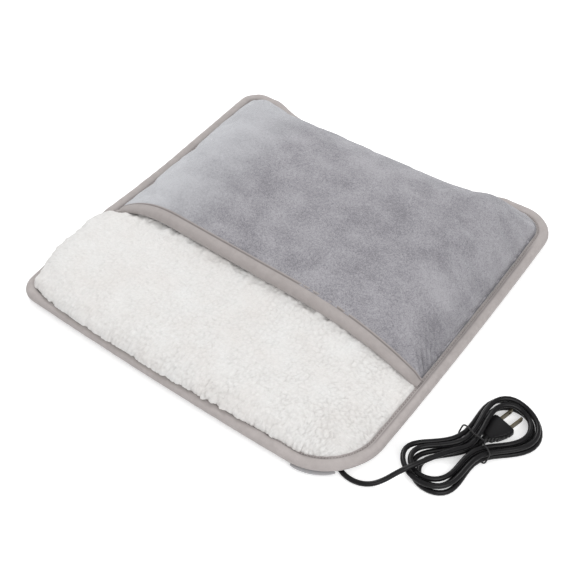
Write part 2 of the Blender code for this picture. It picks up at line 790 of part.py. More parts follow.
def heating_wire_points():
    """The wire's line: up from one terminal chain, to and fro, and back down to the other."""
    half_x = HALF_WIDTH - HEATER_MARGIN - WIRE_MARGIN
    half_y = HALF_DEPTH - (HEATER_FRONT_MARGIN + HEATER_BACK_MARGIN) / 2 - WIRE_MARGIN
    front = HEATER_MIDDLE_Y - half_y
    rear = HEATER_MIDDLE_Y + half_y
    pitch = 2 * half_y / (WIRE_RUNS - 1)
    turn = pitch / 2
    right = half_x - pitch - turn
    left = turn - half_x
    first, last = wire_drops()
    start = first[0]
    points = list(reversed(first))
    points.append(Vector((start.x - turn, front, WIRE_HEIGHT)))
    for run in range(WIRE_RUNS):
        y = pitch * run + front
        leftward = run % 2 == 0
        end_x = left if leftward else right
        points.append(Vector((end_x, y, WIRE_HEIGHT)))
        if run == WIRE_RUNS - 1:
            break
        for step in range(1, WIRE_BEND_STEPS):
            angle = math.pi * step / WIRE_BEND_STEPS
            reach = turn * math.sin(angle)
            points.append(Vector((end_x - reach if leftward else end_x + reach,
                                  y + turn - turn * math.cos(angle), WIRE_HEIGHT)))
        points.append(Vector((end_x, y + pitch, WIRE_HEIGHT)))
    for step in range(1, WIRE_BEND_STEPS):
        angle = math.pi / 2 * step / WIRE_BEND_STEPS
        points.append(Vector((right + turn * math.sin(angle),
                              rear - turn + turn * math.cos(angle), WIRE_HEIGHT)))
    points.append(Vector((right + turn, rear - turn, WIRE_HEIGHT)))
    end = last[0]
    points.append(Vector((right + turn, end.y + pitch, WIRE_HEIGHT)))
    points += last
    return tidy_points(points)


def tidy_points(points):
    """Leaves out points that repeat the one before."""
    kept = [points[0]]
    for point in points[1:]:
        if (point - kept[-1]).length > CLEARANCE:
            kept.append(point)
    return kept


def heater(materials):
    """The heating wire between its two felts, with holes where its ends pass down."""
    half_y = HALF_DEPTH - (HEATER_FRONT_MARGIN + HEATER_BACK_MARGIN) / 2
    outline = [(x, y + HEATER_MIDDLE_Y)
               for x, y in round_rectangle(HALF_WIDTH - HEATER_MARGIN, half_y, HEATER_CORNER, 6)]
    lower = outline_plate("heater_felt_lower", outline, HEATER_FLOOR, FELT_THICKNESS,
                          materials["felt"])
    outline_plate("heater_felt_upper", outline, HEATER_TOP - CLEARANCE - FELT_THICKNESS,
                  FELT_THICKNESS, materials["felt"])
    tube("heating_wire", heating_wire_points(), WIRE_DIAMETER, materials["heating_wire"])
    bore = WIRE_DIAMETER + 2 * WIRE_HOLE_CLEARANCE
    for name, drop in zip(("first", "last"), wire_drops()):
        cut(lower, tube("wire_hole_" + name, drop[:5], bore, None, sides=2, shelf="cutters"))


def terminals(materials):
    """The clamp on the cord, its cores, splices and the two safety devices."""
    half_height = (CLAMP_HEIGHT - CLEARANCE) / 2
    bore = rod("clamp_bore", CORD_DIAMETER + 2 * CLAMP_BORE_CLEARANCE, CLAMP_LENGTH + 2 * OVERRUN,
               lying(terminal_frame()), None, shelf="cutters")
    seat = CLAMP_HEIGHT / 2 - SCREW_HEAD_HEIGHT
    depth = CLAMP_HEIGHT - SCREW_FLOOR
    screw_holes = []
    for side, name in ((-1, "left"), (1, "right")):
        frame = terminal_frame(0, side * SCREW_SPREAD / 2)
        shank_hole = rod("shank_hole_" + name, SCREW_SHANK_DIAMETER + 2 * CLEARANCE, depth,
                         frame @ Matrix.Translation((0, 0, SCREW_FLOOR / 2)), None, sides=10,
                         shelf="cutters")
        head_hole = rod("head_hole_" + name, SCREW_HEAD_DIAMETER + 2 * CLEARANCE, OVERRUN,
                        frame @ Matrix.Translation((0, 0, seat - CLEARANCE + OVERRUN / 2)), None,
                        shelf="cutters")
        screw_holes += [shank_hole, head_hole]
    for name, side in (("cord_clamp_lower", -1), ("cord_clamp_upper", 1)):
        frame = terminal_frame() @ Matrix.Translation((0, 0, side * (half_height + CLEARANCE) / 2))
        half = block(name, (CLAMP_LENGTH, CLAMP_WIDTH, half_height), frame, materials["clamp"],
                     rounding=CLAMP_ROUND, steps=1)
        cut(half, bore)
        for hole in screw_holes:
            cut(half, hole)
    clamp_screw("clamp_screw_left", -1, materials["steel"])
    clamp_screw("clamp_screw_right", 1, materials["steel"])
    for name, side in (("live", 1), ("neutral", -1)):
        aside = side * CHAIN_SPREAD / 2
        cord_core("cord_core_" + name, side, materials["core_" + name])
        reach = CLAMP_LENGTH / 2 + CORE_REACH + CLEARANCE + SPLICE_LENGTH / 2
        rod("crimp_splice_" + name, SPLICE_DIAMETER, SPLICE_LENGTH, lying(terminal_frame(reach, aside)),
            materials["tinned"], sides=10)
    start = CLAMP_LENGTH / 2 + CORE_REACH + 2 * CLEARANCE + SPLICE_LENGTH
    fuse_frame = terminal_frame(start + FUSE_LENGTH / 2, CHAIN_SPREAD / 2)
    rod("thermal_fuse", FUSE_DIAMETER, FUSE_LENGTH, lying(fuse_frame), materials["tinned"], sides=12)
    sleeve("fuse_sleeve", fuse_frame, FUSE_LENGTH, FUSE_DIAMETER, FUSE_DIAMETER, FUSE_DIAMETER / 2,
           materials["sleeve"])
    cutout_frame = terminal_frame(start + THERMOSTAT_LENGTH / 2, -CHAIN_SPREAD / 2)
    block("thermostat", (THERMOSTAT_LENGTH, THERMOSTAT_WIDTH, THERMOSTAT_HEIGHT), cutout_frame,
          materials["steel"], rounding=SLEEVE_ROUND / 2, steps=1)
    sleeve("thermostat_sleeve", cutout_frame, THERMOSTAT_LENGTH, THERMOSTAT_WIDTH,
           THERMOSTAT_HEIGHT, SLEEVE_ROUND, materials["sleeve"])


def clamp_screw(name, side, material):
    """One of the clamp's two screws, turned from its outline, with its head sunk."""
    top = CLAMP_HEIGHT / 2 - SCREW_HEAD_HEIGHT
    shank = SCREW_SHANK_DIAMETER / 2
    head = SCREW_HEAD_DIAMETER / 2
    tip = SCREW_FLOOR + CLEARANCE - CLAMP_HEIGHT / 2
    outline = ((0, top + SCREW_HEAD_HEIGHT), (head, top + SCREW_HEAD_HEIGHT), (head, top),
               (shank, top), (shank, tip), (0, tip))
    frame = terminal_frame(0, side * SCREW_SPREAD / 2)
    return turned(name, outline, frame, material, steps=10)


def cord_core(name, side, material):
    """One of the cord's two cores, from the jacket's end to its splice."""
    start = CLAMP_LENGTH / 4 + CLEARANCE
    reach = CLAMP_LENGTH / 2 + CORE_REACH
    near = side * CORE_SPREAD / 2
    far = side * CHAIN_SPREAD / 2
    spread = ((start, 0), (CLAMP_LENGTH / 2, 0), (mix(CLAMP_LENGTH / 2, reach, 0.3), 0.2),
              (mix(CLAMP_LENGTH / 2, reach, 0.6), 0.8), (mix(CLAMP_LENGTH / 2, reach, 0.8), 1),
              (reach, 1))
    points = [terminal_frame(along, mix(near, far, share)).to_translation()
              for along, share in spread]
    return tube(name, points, CORE_DIAMETER, material)


def sleeve(name, frame, length, width, height, rounding, material):
    """A shrink sleeve open at both ends, round a body of this length, width and height."""
    gap = 2 * CLEARANCE
    bm = bmesh.new()
    bmesh.ops.create_cube(bm, size=1)
    bmesh.ops.scale(bm, vec=(length - 2 * SLEEVE_LIP, width + gap, height + gap), verts=bm.verts[:])
    ends = [face for face in bm.faces if abs(face.normal.x) > 0.5]
    bmesh.ops.delete(bm, geom=ends, context="FACES_ONLY")
    long_edges = [edge for edge in bm.edges
                  if abs((edge.verts[0].co - edge.verts[1].co).normalized().x) > 0.5]
    bmesh.ops.bevel(bm, geom=long_edges, offset=min(rounding, (height + gap) * 0.49), segments=3,
                    profile=0.5, affect="EDGES")
    bmesh.ops.transform(bm, matrix=frame, verts=bm.verts[:])
    mesh = bpy.data.meshes.new(name)
    bm.to_mesh(mesh)
    bm.free()
    thing = keep(name, mesh, material)
    wall = thing.modifiers.new("wall", "SOLIDIFY")
    wall.thickness = SLEEVE_WALL
    wall.offset = 1
    return thing


def smoothstep(value):
    value = min(max(value, 0), 1)
    return value * value * (3 - 2 * value)


def hank_point(turns):
    """A place on the cord's loops, counted in turns from the near end of the hank.

    The lower layer spirals out, the cord climbs along the upper run, and the upper
    layer spirals in again. Each loop is drawn in at the waist, where the step is wider.
    """
    last = HANK_LOOPS / 2 - 0.25
    first_layer = turns < last
    inward = HANK_PITCH * (HANK_LOOPS / 2 - 1 - turns if first_layer else turns - 2 * last + 1)
    level = smoothstep((turns - last + 0.3) / 0.55)
    angle = 2 * math.pi * turns
    far = math.cos(angle) < 0
    reach = (HANK_FAR_REACH if far else HANK_NEAR_REACH) - inward
    spread = HANK_FAR_BREADTH if far else HANK_NEAR_BREADTH
    waist = HANK_WAIST - inward * HANK_WAIST_PITCH / HANK_PITCH
    open_share = smoothstep(abs(math.cos(angle)))
    breadth = mix(waist, spread - HANK_NARROWING * inward, open_share)
    along = -math.cos(angle) * reach
    aside = -math.sin(angle) * breadth
    height = HANK_FLOOR + HANK_LAYER * level
    if far:
        aside += HANK_FAR_LEAN * open_share
    elif not first_layer:
        aside += HANK_NEAR_LEAN * open_share
    if far and turns > last + 0.25:
        run = (turns % 1 - 0.5) / 0.25
        height += HANK_RIDE * smoothstep(run / 0.3) * smoothstep((1 - run) / 0.4)
    height += HANK_LIFT * (1 - smoothstep(abs(along) / HANK_LIFT_REACH))
    return hank_frame() @ Vector((along, aside, height))


def hank_frame():
    return Matrix.Translation((HANK_X, HANK_Y, 0)) @ Matrix.Rotation(HANK_TURN, 4, "Z")


def smooth_route(points, step):
    """Points a step apart on a smooth curve through the given ones."""
    ends = [2 * points[0] - points[1], *points, 2 * points[-1] - points[-2]]
    route = []
    for before, start, end, after in zip(ends, ends[1:], ends[2:], ends[3:]):
        count = max(round((end - start).length / step), 1)
        for index in range(count):
            t = index / count
            route.append(0.5 * ((2 * start) + (end - before) * t
                                + (2 * before - 5 * start + 4 * end - after) * t ** 2
                                + (3 * start - before - 3 * end + after) * t ** 3))
    route.append(points[-1])
    return route


def plug_rear():
    """Where the cord enters the plug's neck."""
    return plug_frame() @ Vector((-PLUG_LENGTH / 2 - 2 * CLEARANCE - NECK_LENGTH, 0, 0))


def cord_line():
    """The cord's whole free line, from the plug's neck to inside the clamp, and its joint."""
    loops = []
    count = HANK_LOOPS * HANK_LOOP_POINTS
    for index in range(count + 1):
        loops.append(hank_point(index / HANK_LOOP_POINTS - 0.25))
    rear = plug_rear()
    back = plug_frame().to_3x3() @ Vector((-CORD_DIAMETER, 0, 0))
    tail = [rear, rear + back]
    clamp_mouth = terminal_frame(-CLAMP_LENGTH / 2).to_translation()
    clamp_end = terminal_frame(CLAMP_LENGTH / 4).to_translation()
    corner = Vector((HALF_WIDTH, -HALF_DEPTH, 0))
    lead = [corner + Vector(point) for point in LEAD_ROUTE] + [clamp_mouth, clamp_end]
    tail_run = smooth_route(tail + loops[:1], CORD_STEP)
    lead_run = smooth_route(loops[-1:] + lead, CORD_STEP)
    line = tail_run[:-1] + loops + lead_run[1:]
    first_lead = len(tail_run) - 1 + len(loops)
    travelled = 0
    for index in range(first_lead, len(line)):
        travelled += (line[index] - line[index - 1]).length
        if travelled > CORD_SPLIT:
            return line, index
    return line, first_lead


def lead_to_clamp():
    """The part of the cord's line that lies in and under the pad."""
    line, joint = cord_line()
    return [point for point in line[joint:] if point.x < HALF_WIDTH - COVER_INSET]


def measure_cord(line):
    """Prints the cord's length and its least gap to itself."""
    points = np.array([tuple(point) for point in line])
    travelled = np.concatenate(([0], np.cumsum(np.linalg.norm(np.diff(points, axis=0), axis=1))))
    places = np.arange(0, travelled[-1], CORD_DIAMETER / 3)
    fine = np.stack([np.interp(places, travelled, points[:, axis]) for axis in range(3)], axis=1)
    distance = np.linalg.norm(fine[:, None] - fine[None], axis=2)
    apart = np.abs(places[:, None] - places[None]) > 6 * CORD_DIAMETER
    gap = distance[apart].min() - CORD_DIAMETER
    row, column = divmod(np.where(apart, distance, np.inf).argmin(), len(fine))
    print("cord length %.3f m, least gap to itself %.2f mm" % (travelled[-1], gap * 1000),
          "between", np.round(fine[row] * 1000, 1), "and", np.round(fine[column] * 1000, 1))


def mains_cord(materials):
    """The cord as two tubes that meet end to end: the tied hank and the lead."""
    line, joint = cord_line()
    measure_cord(line)
    ahead = (line[joint] - line[joint - 1]).normalized()
    hank_line = line[:joint] + [line[joint] - ahead * CLEARANCE / 2]
    straight = [line[joint] + ahead * CLEARANCE / 2, line[joint] + ahead * CORD_DIAMETER]
    lead_line = straight + line[joint + 1:]
    tube("cord_hank", hank_line, CORD_DIAMETER, materials["cord"])
    tube("cord_lead", lead_line, CORD_DIAMETER, materials["cord"], sides=2)


def tie_loop():
    """The tie's loop round the waist, from above the knot and back to it."""
    floor = TIE_DIAMETER / 2 + CLEARANCE
    half_height = (TIE_TOP - floor) / 2
    share = (TIE_ASIDE - TIE_KNOT_ASIDE) / TIE_HALF_WIDTH
    knot = math.pi - math.acos(share ** (1 / TIE_SQUARENESS))
    opening = 2 * TIE_TWIST_RADIUS / TIE_HALF_WIDTH
    points = []
    for step in range(TIE_STEPS + 1):
        angle = knot + opening + (2 * math.pi - 2 * opening) * step / TIE_STEPS
        across = math.copysign(abs(math.cos(angle)) ** TIE_SQUARENESS, math.cos(angle))
        up = math.copysign(abs(math.sin(angle)) ** TIE_SQUARENESS, math.sin(angle))
        along = mix(TIE_SIDE_ALONG, TIE_TOP_ALONG, (up + 1) / 2)
        points.append(Vector((along, TIE_ASIDE + TIE_HALF_WIDTH * across,
                              floor + half_height * (1 + up))))
    return points


def tie_twist(phase):
    """One end of the tie as it winds round the other, ending in a straight tail."""
    start, end = Vector(TIE_TWIST_START), Vector(TIE_TWIST_END)
    ahead = (end - start).normalized()
    side = ahead.cross(Vector((0, 0, 1))).normalized()
    up = side.cross(ahead)
    points = []
    for step in range(TIE_TWIST_STEPS + 1):
        share = step / TIE_TWIST_STEPS
        angle = phase + 2 * math.pi * TIE_TWIST_TURNS * share
        points.append(start.lerp(end, share)
                      + (side * math.cos(angle) + up * math.sin(angle)) * TIE_TWIST_RADIUS)
    return points


def twist_tie(material):
    """A wire loop round the waist whose two ends are twisted together, one with a longer tail."""
    first = tie_twist(math.pi / 2)
    second = tie_twist(-math.pi / 2)
    tail = first[-1] + Vector(TIE_TAIL)
    line = [tail] + list(reversed(first)) + tie_loop() + second
    return tube("twist_tie", [hank_frame() @ point for point in line], TIE_DIAMETER, material)


def plug_frame():
    """X runs from the cord to the blades, and falls to the rear, as the body lies on its taper."""
    height = PLUG_FLOOR + (PLUG_FRONT_THICKNESS + PLUG_REAR_THICKNESS) / 4
    pitch = math.atan((PLUG_FRONT_THICKNESS - PLUG_REAR_THICKNESS) / 2 / PLUG_LENGTH)
    turn = Matrix.Rotation(PLUG_TURN, 4, "Z") @ Matrix.Rotation(-pitch, 4, "Y")
    return Matrix.Translation((PLUG_X, PLUG_Y, height)) @ turn


def plug(materials):
    """The moulded two-pin plug: a body that tapers to its neck, and two flat blades."""
    frame = plug_frame()
    bm = bmesh.new()
    bmesh.ops.create_cube(bm, size=1)
    for vertex in bm.verts:
        width, thickness = PLUG_REAR_WIDTH, PLUG_REAR_THICKNESS
        if vertex.co.x > 0:
            width, thickness = PLUG_FRONT_WIDTH, PLUG_FRONT_THICKNESS
        vertex.co = (vertex.co.x * PLUG_LENGTH, vertex.co.y * width, vertex.co.z * thickness)
    bmesh.ops.bevel(bm, geom=bm.edges[:], offset=PLUG_ROUND, segments=2, profile=0.5, affect="EDGES")
    bmesh.ops.transform(bm, matrix=frame, verts=bm.verts[:])
    mesh = bpy.data.meshes.new("plug_body")
    bm.to_mesh(mesh)
    bm.free()
    body = keep("plug_body", mesh, materials["plug"])
    for name, side in (("left", 1), ("right", -1)):
        plug_blade(name, side, body, materials["blade"])
    plug_neck(materials["plug"])


def plug_blade(name, side, body, material):
    """One flat blade with a chamfered tip and a hole, seated in a slot of the body."""
    length = BLADE_REACH + BLADE_SEAT
    middle = PLUG_LENGTH / 2 - BLADE_SEAT + length / 2
    frame = plug_frame() @ Matrix.Translation((middle, side * BLADE_SPACING / 2, 0))
    bm = bmesh.new()
    bmesh.ops.create_cube(bm, size=1)
    bmesh.ops.scale(bm, vec=(length, BLADE_THICKNESS, BLADE_WIDTH), verts=bm.verts[:])
    tips = [edge for edge in bm.edges
            if all(vertex.co.x > 0 for vertex in edge.verts)
            and abs(edge.verts[0].co.y - edge.verts[1].co.y) > BLADE_THICKNESS / 2]
    bmesh.ops.bevel(bm, geom=tips, offset=BLADE_TIP, segments=2, profile=0.5, affect="EDGES")
    bmesh.ops.transform(bm, matrix=frame, verts=bm.verts[:])
    mesh = bpy.data.meshes.new("plug_blade_" + name)
    bm.to_mesh(mesh)
    bm.free()
    blade = keep("plug_blade_" + name, mesh, material)
    hole = rod("blade_hole_" + name, BLADE_HOLE_DIAMETER, BLADE_THICKNESS + 2 * OVERRUN,
               frame @ Matrix.Translation((length / 2 - BLADE_HOLE_SETBACK, 0, 0))
               @ Matrix.Rotation(math.pi / 2, 4, "X"), None, sides=10, shelf="cutters")
    cut(blade, hole)
    seat = 2 * CLEARANCE
    slot = block("blade_slot_" + name, (length + seat, BLADE_THICKNESS + seat, BLADE_WIDTH + seat),
                 frame, None, shelf="cutters")
    cut(body, slot)


def plug_neck(material):
    """The plug's ribbed bend relief, turned, with its axis on the cord."""
    front = NECK_FRONT_DIAMETER / 2
    rear = NECK_REAR_DIAMETER / 2
    outline = [(0, 0), (front, 0)]
    for ring in range(NECK_RINGS):
        start = NECK_LENGTH * (ring + 0.6) / (NECK_RINGS + 0.6)
        end = NECK_LENGTH * (ring + 1.1) / (NECK_RINGS + 0.6)
        outline.append((mix(front, rear, start / NECK_LENGTH), -start))
        outline.append((mix(front, rear, start / NECK_LENGTH) - NECK_GROOVE, -start))
        outline.append((mix(front, rear, end / NECK_LENGTH) - NECK_GROOVE, -end))
        outline.append((mix(front, rear, end / NECK_LENGTH), -end))
    outline += [(rear, -NECK_LENGTH), (0, -NECK_LENGTH)]
    place = plug_frame() @ Matrix.Translation((-PLUG_LENGTH / 2 - CLEARANCE, 0, 0))
    return turned("plug_neck", outline, lying(place), material)


def finishes():
    """Every material of the part."""
    return {
        "underside": finish_material("underside_cloth", (0.42, 0.42, 0.43), 0.95),
        "wadding": finish_material("wadding", (0.90, 0.90, 0.89), 1.0),
        "felt": finish_material("heater_felt", (0.82, 0.80, 0.76), 1.0),
        "heating_wire": finish_material("heating_wire", (0.70, 0.25, 0.18), 0.5),
        "sherpa": finish_material("sherpa", (0.86, 0.85, 0.83), 1.0),
        "flannel": finish_material("flannel", (0.36, 0.36, 0.38), 0.9),
        "tape": finish_material("binding_tape", (0.50, 0.45, 0.44), 0.85),
        "clamp": finish_material("clamp_plastic", (0.75, 0.74, 0.70), 0.5),
        "steel": finish_material("plated_steel", (0.60, 0.60, 0.60), 0.3, 1.0),
        "core_live": finish_material("core_live", (0.28, 0.12, 0.05), 0.5),
        "core_neutral": finish_material("core_neutral", (0.05, 0.15, 0.45), 0.5),
        "tinned": finish_material("tinned_copper", (0.70, 0.68, 0.65), 0.35, 1.0),
        "sleeve": finish_material("shrink_sleeve", (0.80, 0.78, 0.70), 0.6),
        "cord": finish_material("cord_jacket", (0.02, 0.02, 0.022), 0.45),
        "plug": finish_material("plug_rubber", (0.02, 0.02, 0.022), 0.5),
        "blade": finish_material("blade_nickel", (0.66, 0.64, 0.58), 0.3, 1.0),
        "tie": finish_material("tie_coating", (0.03, 0.03, 0.03), 0.5),
    }


def main():
    start_scene()
    materials = finishes()
    quilt_base(materials)
    quilt_cover(materials)
    edge_binding(materials["tape"])
    heater(materials)
    terminals(materials)
    mains_cord(materials)
    twist_tie(materials["tie"])
    plug(materials)


main()
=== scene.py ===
"""Electric foot warmer: its cloth, pile, cord and fittings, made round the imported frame."""
import math

import bpy
import numpy as np
from bpy.props import FloatProperty, FloatVectorProperty, IntProperty, PointerProperty
from mathutils import Matrix, Vector


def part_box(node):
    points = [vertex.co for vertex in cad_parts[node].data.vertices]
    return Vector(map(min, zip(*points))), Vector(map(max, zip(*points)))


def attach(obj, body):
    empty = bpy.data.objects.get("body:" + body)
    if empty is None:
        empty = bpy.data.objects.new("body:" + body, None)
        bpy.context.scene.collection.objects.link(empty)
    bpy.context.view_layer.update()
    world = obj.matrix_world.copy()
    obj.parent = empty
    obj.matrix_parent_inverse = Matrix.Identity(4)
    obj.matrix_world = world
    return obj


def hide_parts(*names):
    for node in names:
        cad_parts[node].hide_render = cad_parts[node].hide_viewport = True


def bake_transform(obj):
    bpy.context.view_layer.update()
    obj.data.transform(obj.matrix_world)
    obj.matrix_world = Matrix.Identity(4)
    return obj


bl_info = {
    "name": "Electric Foot Warmer",
    "version": (1, 0, 0),
    "blender": (4, 5, 0),
    "location": "View3D > Sidebar > Foot Warmer",
    "description": "Builds a heated foot pocket, piece by piece, round its packed frame",
    "category": "Object",
}

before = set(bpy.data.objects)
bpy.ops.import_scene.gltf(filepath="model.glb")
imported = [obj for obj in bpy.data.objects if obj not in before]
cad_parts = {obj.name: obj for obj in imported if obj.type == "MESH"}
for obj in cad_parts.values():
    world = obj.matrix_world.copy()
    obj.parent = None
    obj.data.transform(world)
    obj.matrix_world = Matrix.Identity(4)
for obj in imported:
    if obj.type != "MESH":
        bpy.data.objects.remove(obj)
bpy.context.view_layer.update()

# The pad's sewn outline
HALF_WIDTH, HALF_DEPTH = 0.200, 0.208
CORNER_RADII = ((0.020, 0.064), (0.023, 0.037))
FRONT_BELLY, FRONT_SHIFT, RIGHT_BELLY = 0.0004, 0.0006, 0.0035
LEFT_BELLY = ((-0.208, -0.170, -0.125, -0.064, -0.020, 0.040, 0.208),
              (0.0028, 0.0040, 0.0064, 0.0062, 0.0029, 0.0000, -0.0022))
FRONT_TAPER, BACK_TAPER = 0.0154, 0.0068
BACK_WAIST, WAIST_X, WAIST_REACH = 0.0156, -0.012, 0.150
MOUTH_Y, LEFT_SLANT, RIGHT_SLANT = -0.064, 0.011, 0.008

# The seam and the quilted layers between its tape
SEAM_HEIGHT, SEAM_FLOOR, SEAM_TOP = 0.010, 0.0075, 0.0125
SEAM_LAYER = 0.001025
SEAM_STEP = SEAM_LAYER + 0.0003
COVER_INSET, FLANK_RUN, REAR_RUN, FLANK_STEEPNESS = 0.0145, 0.045, 0.070, 3.2
SIDE_RUN, SIDE_STEEPNESS = 0.064, 2.4
REAR_CORNER_DROPS = (0.12, 0.36)
LOWER_WADDING_TOP, HEATER_TOP = 0.0110, 0.0164
BASE_SHOULDER, BASE_CROWN, SHERPA_THICKNESS = 0.0308, 0.0030, 0.0080
COVER_GAP, POCKET_HEIGHT = 0.0006, 0.009
COVER_THICKNESS, COVER_RIM, COVER_DOME = 0.020, 0.0040, 0.010
LINING_THICKNESS, SKIN_RIM = 0.0060, 0.0010
MOUTH_RUN, MOUTH_SHARE = 0.055, 0.28
MOUTH_TAPE_WIDTH, MOUTH_RADIUS = 0.0105, 0.0042
TAPE_WIDTH, FOLD_RADIUS, TAPE_CLOTH, STITCH_INSET, EDGE_POINTS = 0.013, 0.0040, 0.0009, 0.0112, 720

# How far in from the pad's edge the pieces' own edges lie
LAYER_EDGE, FLEECE_EDGE, COVER_EDGE, LINING_EDGE = 0.0095, 0.0125, 0.0132, 0.0150

# The cord's hank, in its own directions, and the lead's route to the clamp
HANK_X, HANK_Y, HANK_TURN = 0.2620, -0.1005, math.radians(67)
HANK_LOOPS, HANK_STEPS = 4, 64
HANK_FLOOR, HANK_PITCH, HANK_LAYER = 0.0026, 0.0057, 0.0060
HANK_FAR_REACH, HANK_NEAR_REACH = 0.0733, 0.0596
HANK_FAR_BREADTH, HANK_NEAR_BREADTH = 0.0462, 0.0390
HANK_WAIST, HANK_WAIST_PITCH, HANK_NARROWING = 0.0100, 0.0071, 1.96
HANK_FAR_LEAN, HANK_NEAR_LEAN = 0.0030, 0.0069
HANK_RIDE, HANK_LIFT, HANK_LIFT_REACH = 0.0049, 0.0029, 0.032
LEAD_ROUTE = (
    (0.2544, -0.1103, 0.0129), (0.2475, -0.1215, 0.0144), (0.2409, -0.1328, 0.0151),
    (0.2351, -0.1434, 0.0153), (0.2288, -0.1537, 0.0147), (0.2220, -0.1628, 0.0106),
    (0.2155, -0.1722, 0.0060), (0.2083, -0.1803, 0.0034), (0.1987, -0.1856, 0.0027),
    (0.1870, -0.1868, 0.0027), (0.1764, -0.1836, 0.0027), (0.1680, -0.1775, 0.0029),
    (0.1600, -0.1703, 0.0042), (0.1520, -0.1625, 0.0058), (0.14516, -0.15566, 0.0062),
    (0.1367, -0.1472, 0.0062),
)
PLUG_X, PLUG_Y, PLUG_TURN, PLUG_FLOOR = 0.2706, -0.0667, math.radians(74), 0.0004
PLUG_LENGTH, PLUG_FRONT_THICKNESS, PLUG_REAR_THICKNESS = 0.0240, 0.0100, 0.0074
PLUG_FRONT_WIDTH, PLUG_REAR_WIDTH = 0.0250, 0.0125
NECK_LENGTH, NECK_GAP, CORD_STEP = 0.0110, 0.0006, 0.0025

# The twist tie: its section round the waist, in the hank's directions, and its twisted end
TIE_FLOOR, TIE_TOP, TIE_HALF_WIDTH, TIE_ASIDE, TIE_SQUARENESS = 0.0011, 0.0163, 0.0198, 0.0022, 0.42
TIE_NEAR, TIE_FAR, TIE_TWIST_RADIUS, TIE_THICKNESS = 0.0030, 0.0095, 0.0011, 0.0016
TIE_TWIST_START, TIE_TWIST_END = (0.0135, -0.0045, 0.0162), (0.0240, -0.0090, 0.0148)

# The stage: each lamp's name, place, size and watts, then the camera, the floor and the room
LAMPS = (("key_lamp", (-1.1, 0.7, 1.3), 0.9, 13.0), ("fill_lamp", (1.2, -0.8, 1.2), 1.4, 15.0))
CAMERA_PLACE, CAMERA_TARGET = (0.5225, -0.7623, 0.9658), (0.0064, -0.0247, 0.0)
CAMERA_LENS, CAMERA_SENSOR = 81.33, 36.0
FLOOR_SIZE, FLOOR_HEIGHT, FLOOR_GLOW, ROOM_LIGHT = 14, -0.0003, 0.42, 0.70


# ---------------------------------------------------------------- numbers and noise

def clip01(value):
    return np.clip(value, 0.0, 1.0)


def mix(start, end, share):
    return start + (end - start) * share


def smooth(value):
    value = clip01(value)
    return value * value * (3 - 2 * value)


def bell(offset, width):
    return np.exp(-(offset / width) ** 2)


def marks(*runs):
    """Grid places along one direction, from runs of (start, end, step)."""
    spots = [np.linspace(start, end, max(int(round(abs(end - start) / step)), 1) + 1)[:-1]
             for start, end, step in runs]
    return np.concatenate(spots + [[runs[-1][1]]])


def scatter(ix, iy, seed):
    """A fixed number from 0 to 1 for each place of a lattice."""
    mixed = (ix.astype(np.int64) * 374761393 + iy.astype(np.int64) * 668265263
             + seed * 974634777) & 0xFFFFFFFF
    mixed = ((mixed ^ (mixed >> 13)) * 1274126177) & 0xFFFFFFFF
    return (mixed ^ (mixed >> 16)) / 4294967295.0


def swells(x, y, size, seed):
    """Smooth noise from -1 to 1 whose swells are about size across."""
    grid_x, grid_y = x / size, y / size
    ix, iy = np.floor(grid_x), np.floor(grid_y)
    tx, ty = smooth(grid_x - ix), smooth(grid_y - iy)
    near = mix(scatter(ix, iy, seed), scatter(ix + 1, iy, seed), tx)
    far = mix(scatter(ix, iy + 1, seed), scatter(ix + 1, iy + 1, seed), tx)
    return 2 * mix(near, far, ty) - 1


def ripple(along, size, seed):
    """Smooth noise from -1 to 1 along a line."""
    return swells(along, 0 * along, size, seed)


def tufts(x, y, size, seed):
    """Distances to the nearest and the second tuft, in sizes, and the nearest one's own number."""
    grid_x, grid_y = x / size, y / size
    ix, iy = np.floor(grid_x), np.floor(grid_y)
    nearest = np.full(x.shape, 9.0)
    second = nearest.copy()
    own = np.zeros(x.shape)
    for step_x in (-1, 0, 1):
        for step_y in (-1, 0, 1):
            cell_x, cell_y = ix + step_x, iy + step_y
            away = np.hypot(cell_x + 0.1 + 0.8 * scatter(cell_x, cell_y, seed) - grid_x,
                            cell_y + 0.1 + 0.8 * scatter(cell_x, cell_y, seed + 1) - grid_y)
            closer = away < nearest
            second = np.where(closer, nearest, np.minimum(second, away))
            own = np.where(closer, scatter(cell_x, cell_y, seed + 2), own)
            nearest = np.minimum(nearest, away)
    return nearest, second, own


# ---------------------------------------------------------------- the quilt's own heights

def bellied(x, y):
    """Bows three edges out, and draws the back and the front's left end in."""
    across = 1 - (x / HALF_WIDTH) ** 2
    along = 1 - (y / HALF_DEPTH) ** 2
    y_before = y
    leftward = (HALF_WIDTH - x) / (2 * HALF_WIDTH)
    waist = BACK_WAIST * smooth(1 - ((x - WAIST_X) / WAIST_REACH) ** 4)
    rear = (waist + BACK_TAPER * leftward) * smooth(y / (HALF_DEPTH - COVER_INSET))
    share = (MOUTH_Y - y) / (HALF_DEPTH - COVER_INSET + MOUTH_Y)
    y = y - rear + FRONT_TAPER * clip01(leftward) ** 1.8 * smooth(share)
    x = x + x / HALF_WIDTH * np.where(x > 0, RIGHT_BELLY * along, np.interp(y_before, *LEFT_BELLY))
    slant = np.where(x > 0, RIGHT_SLANT, LEFT_SLANT) * x / HALF_WIDTH
    y = y + np.where(y < 0, FRONT_BELLY * across * y / HALF_DEPTH, 0)
    y = y - slant * bell(y_before - MOUTH_Y, 0.060)
    return x - RIGHT_BELLY, y + FRONT_SHIFT


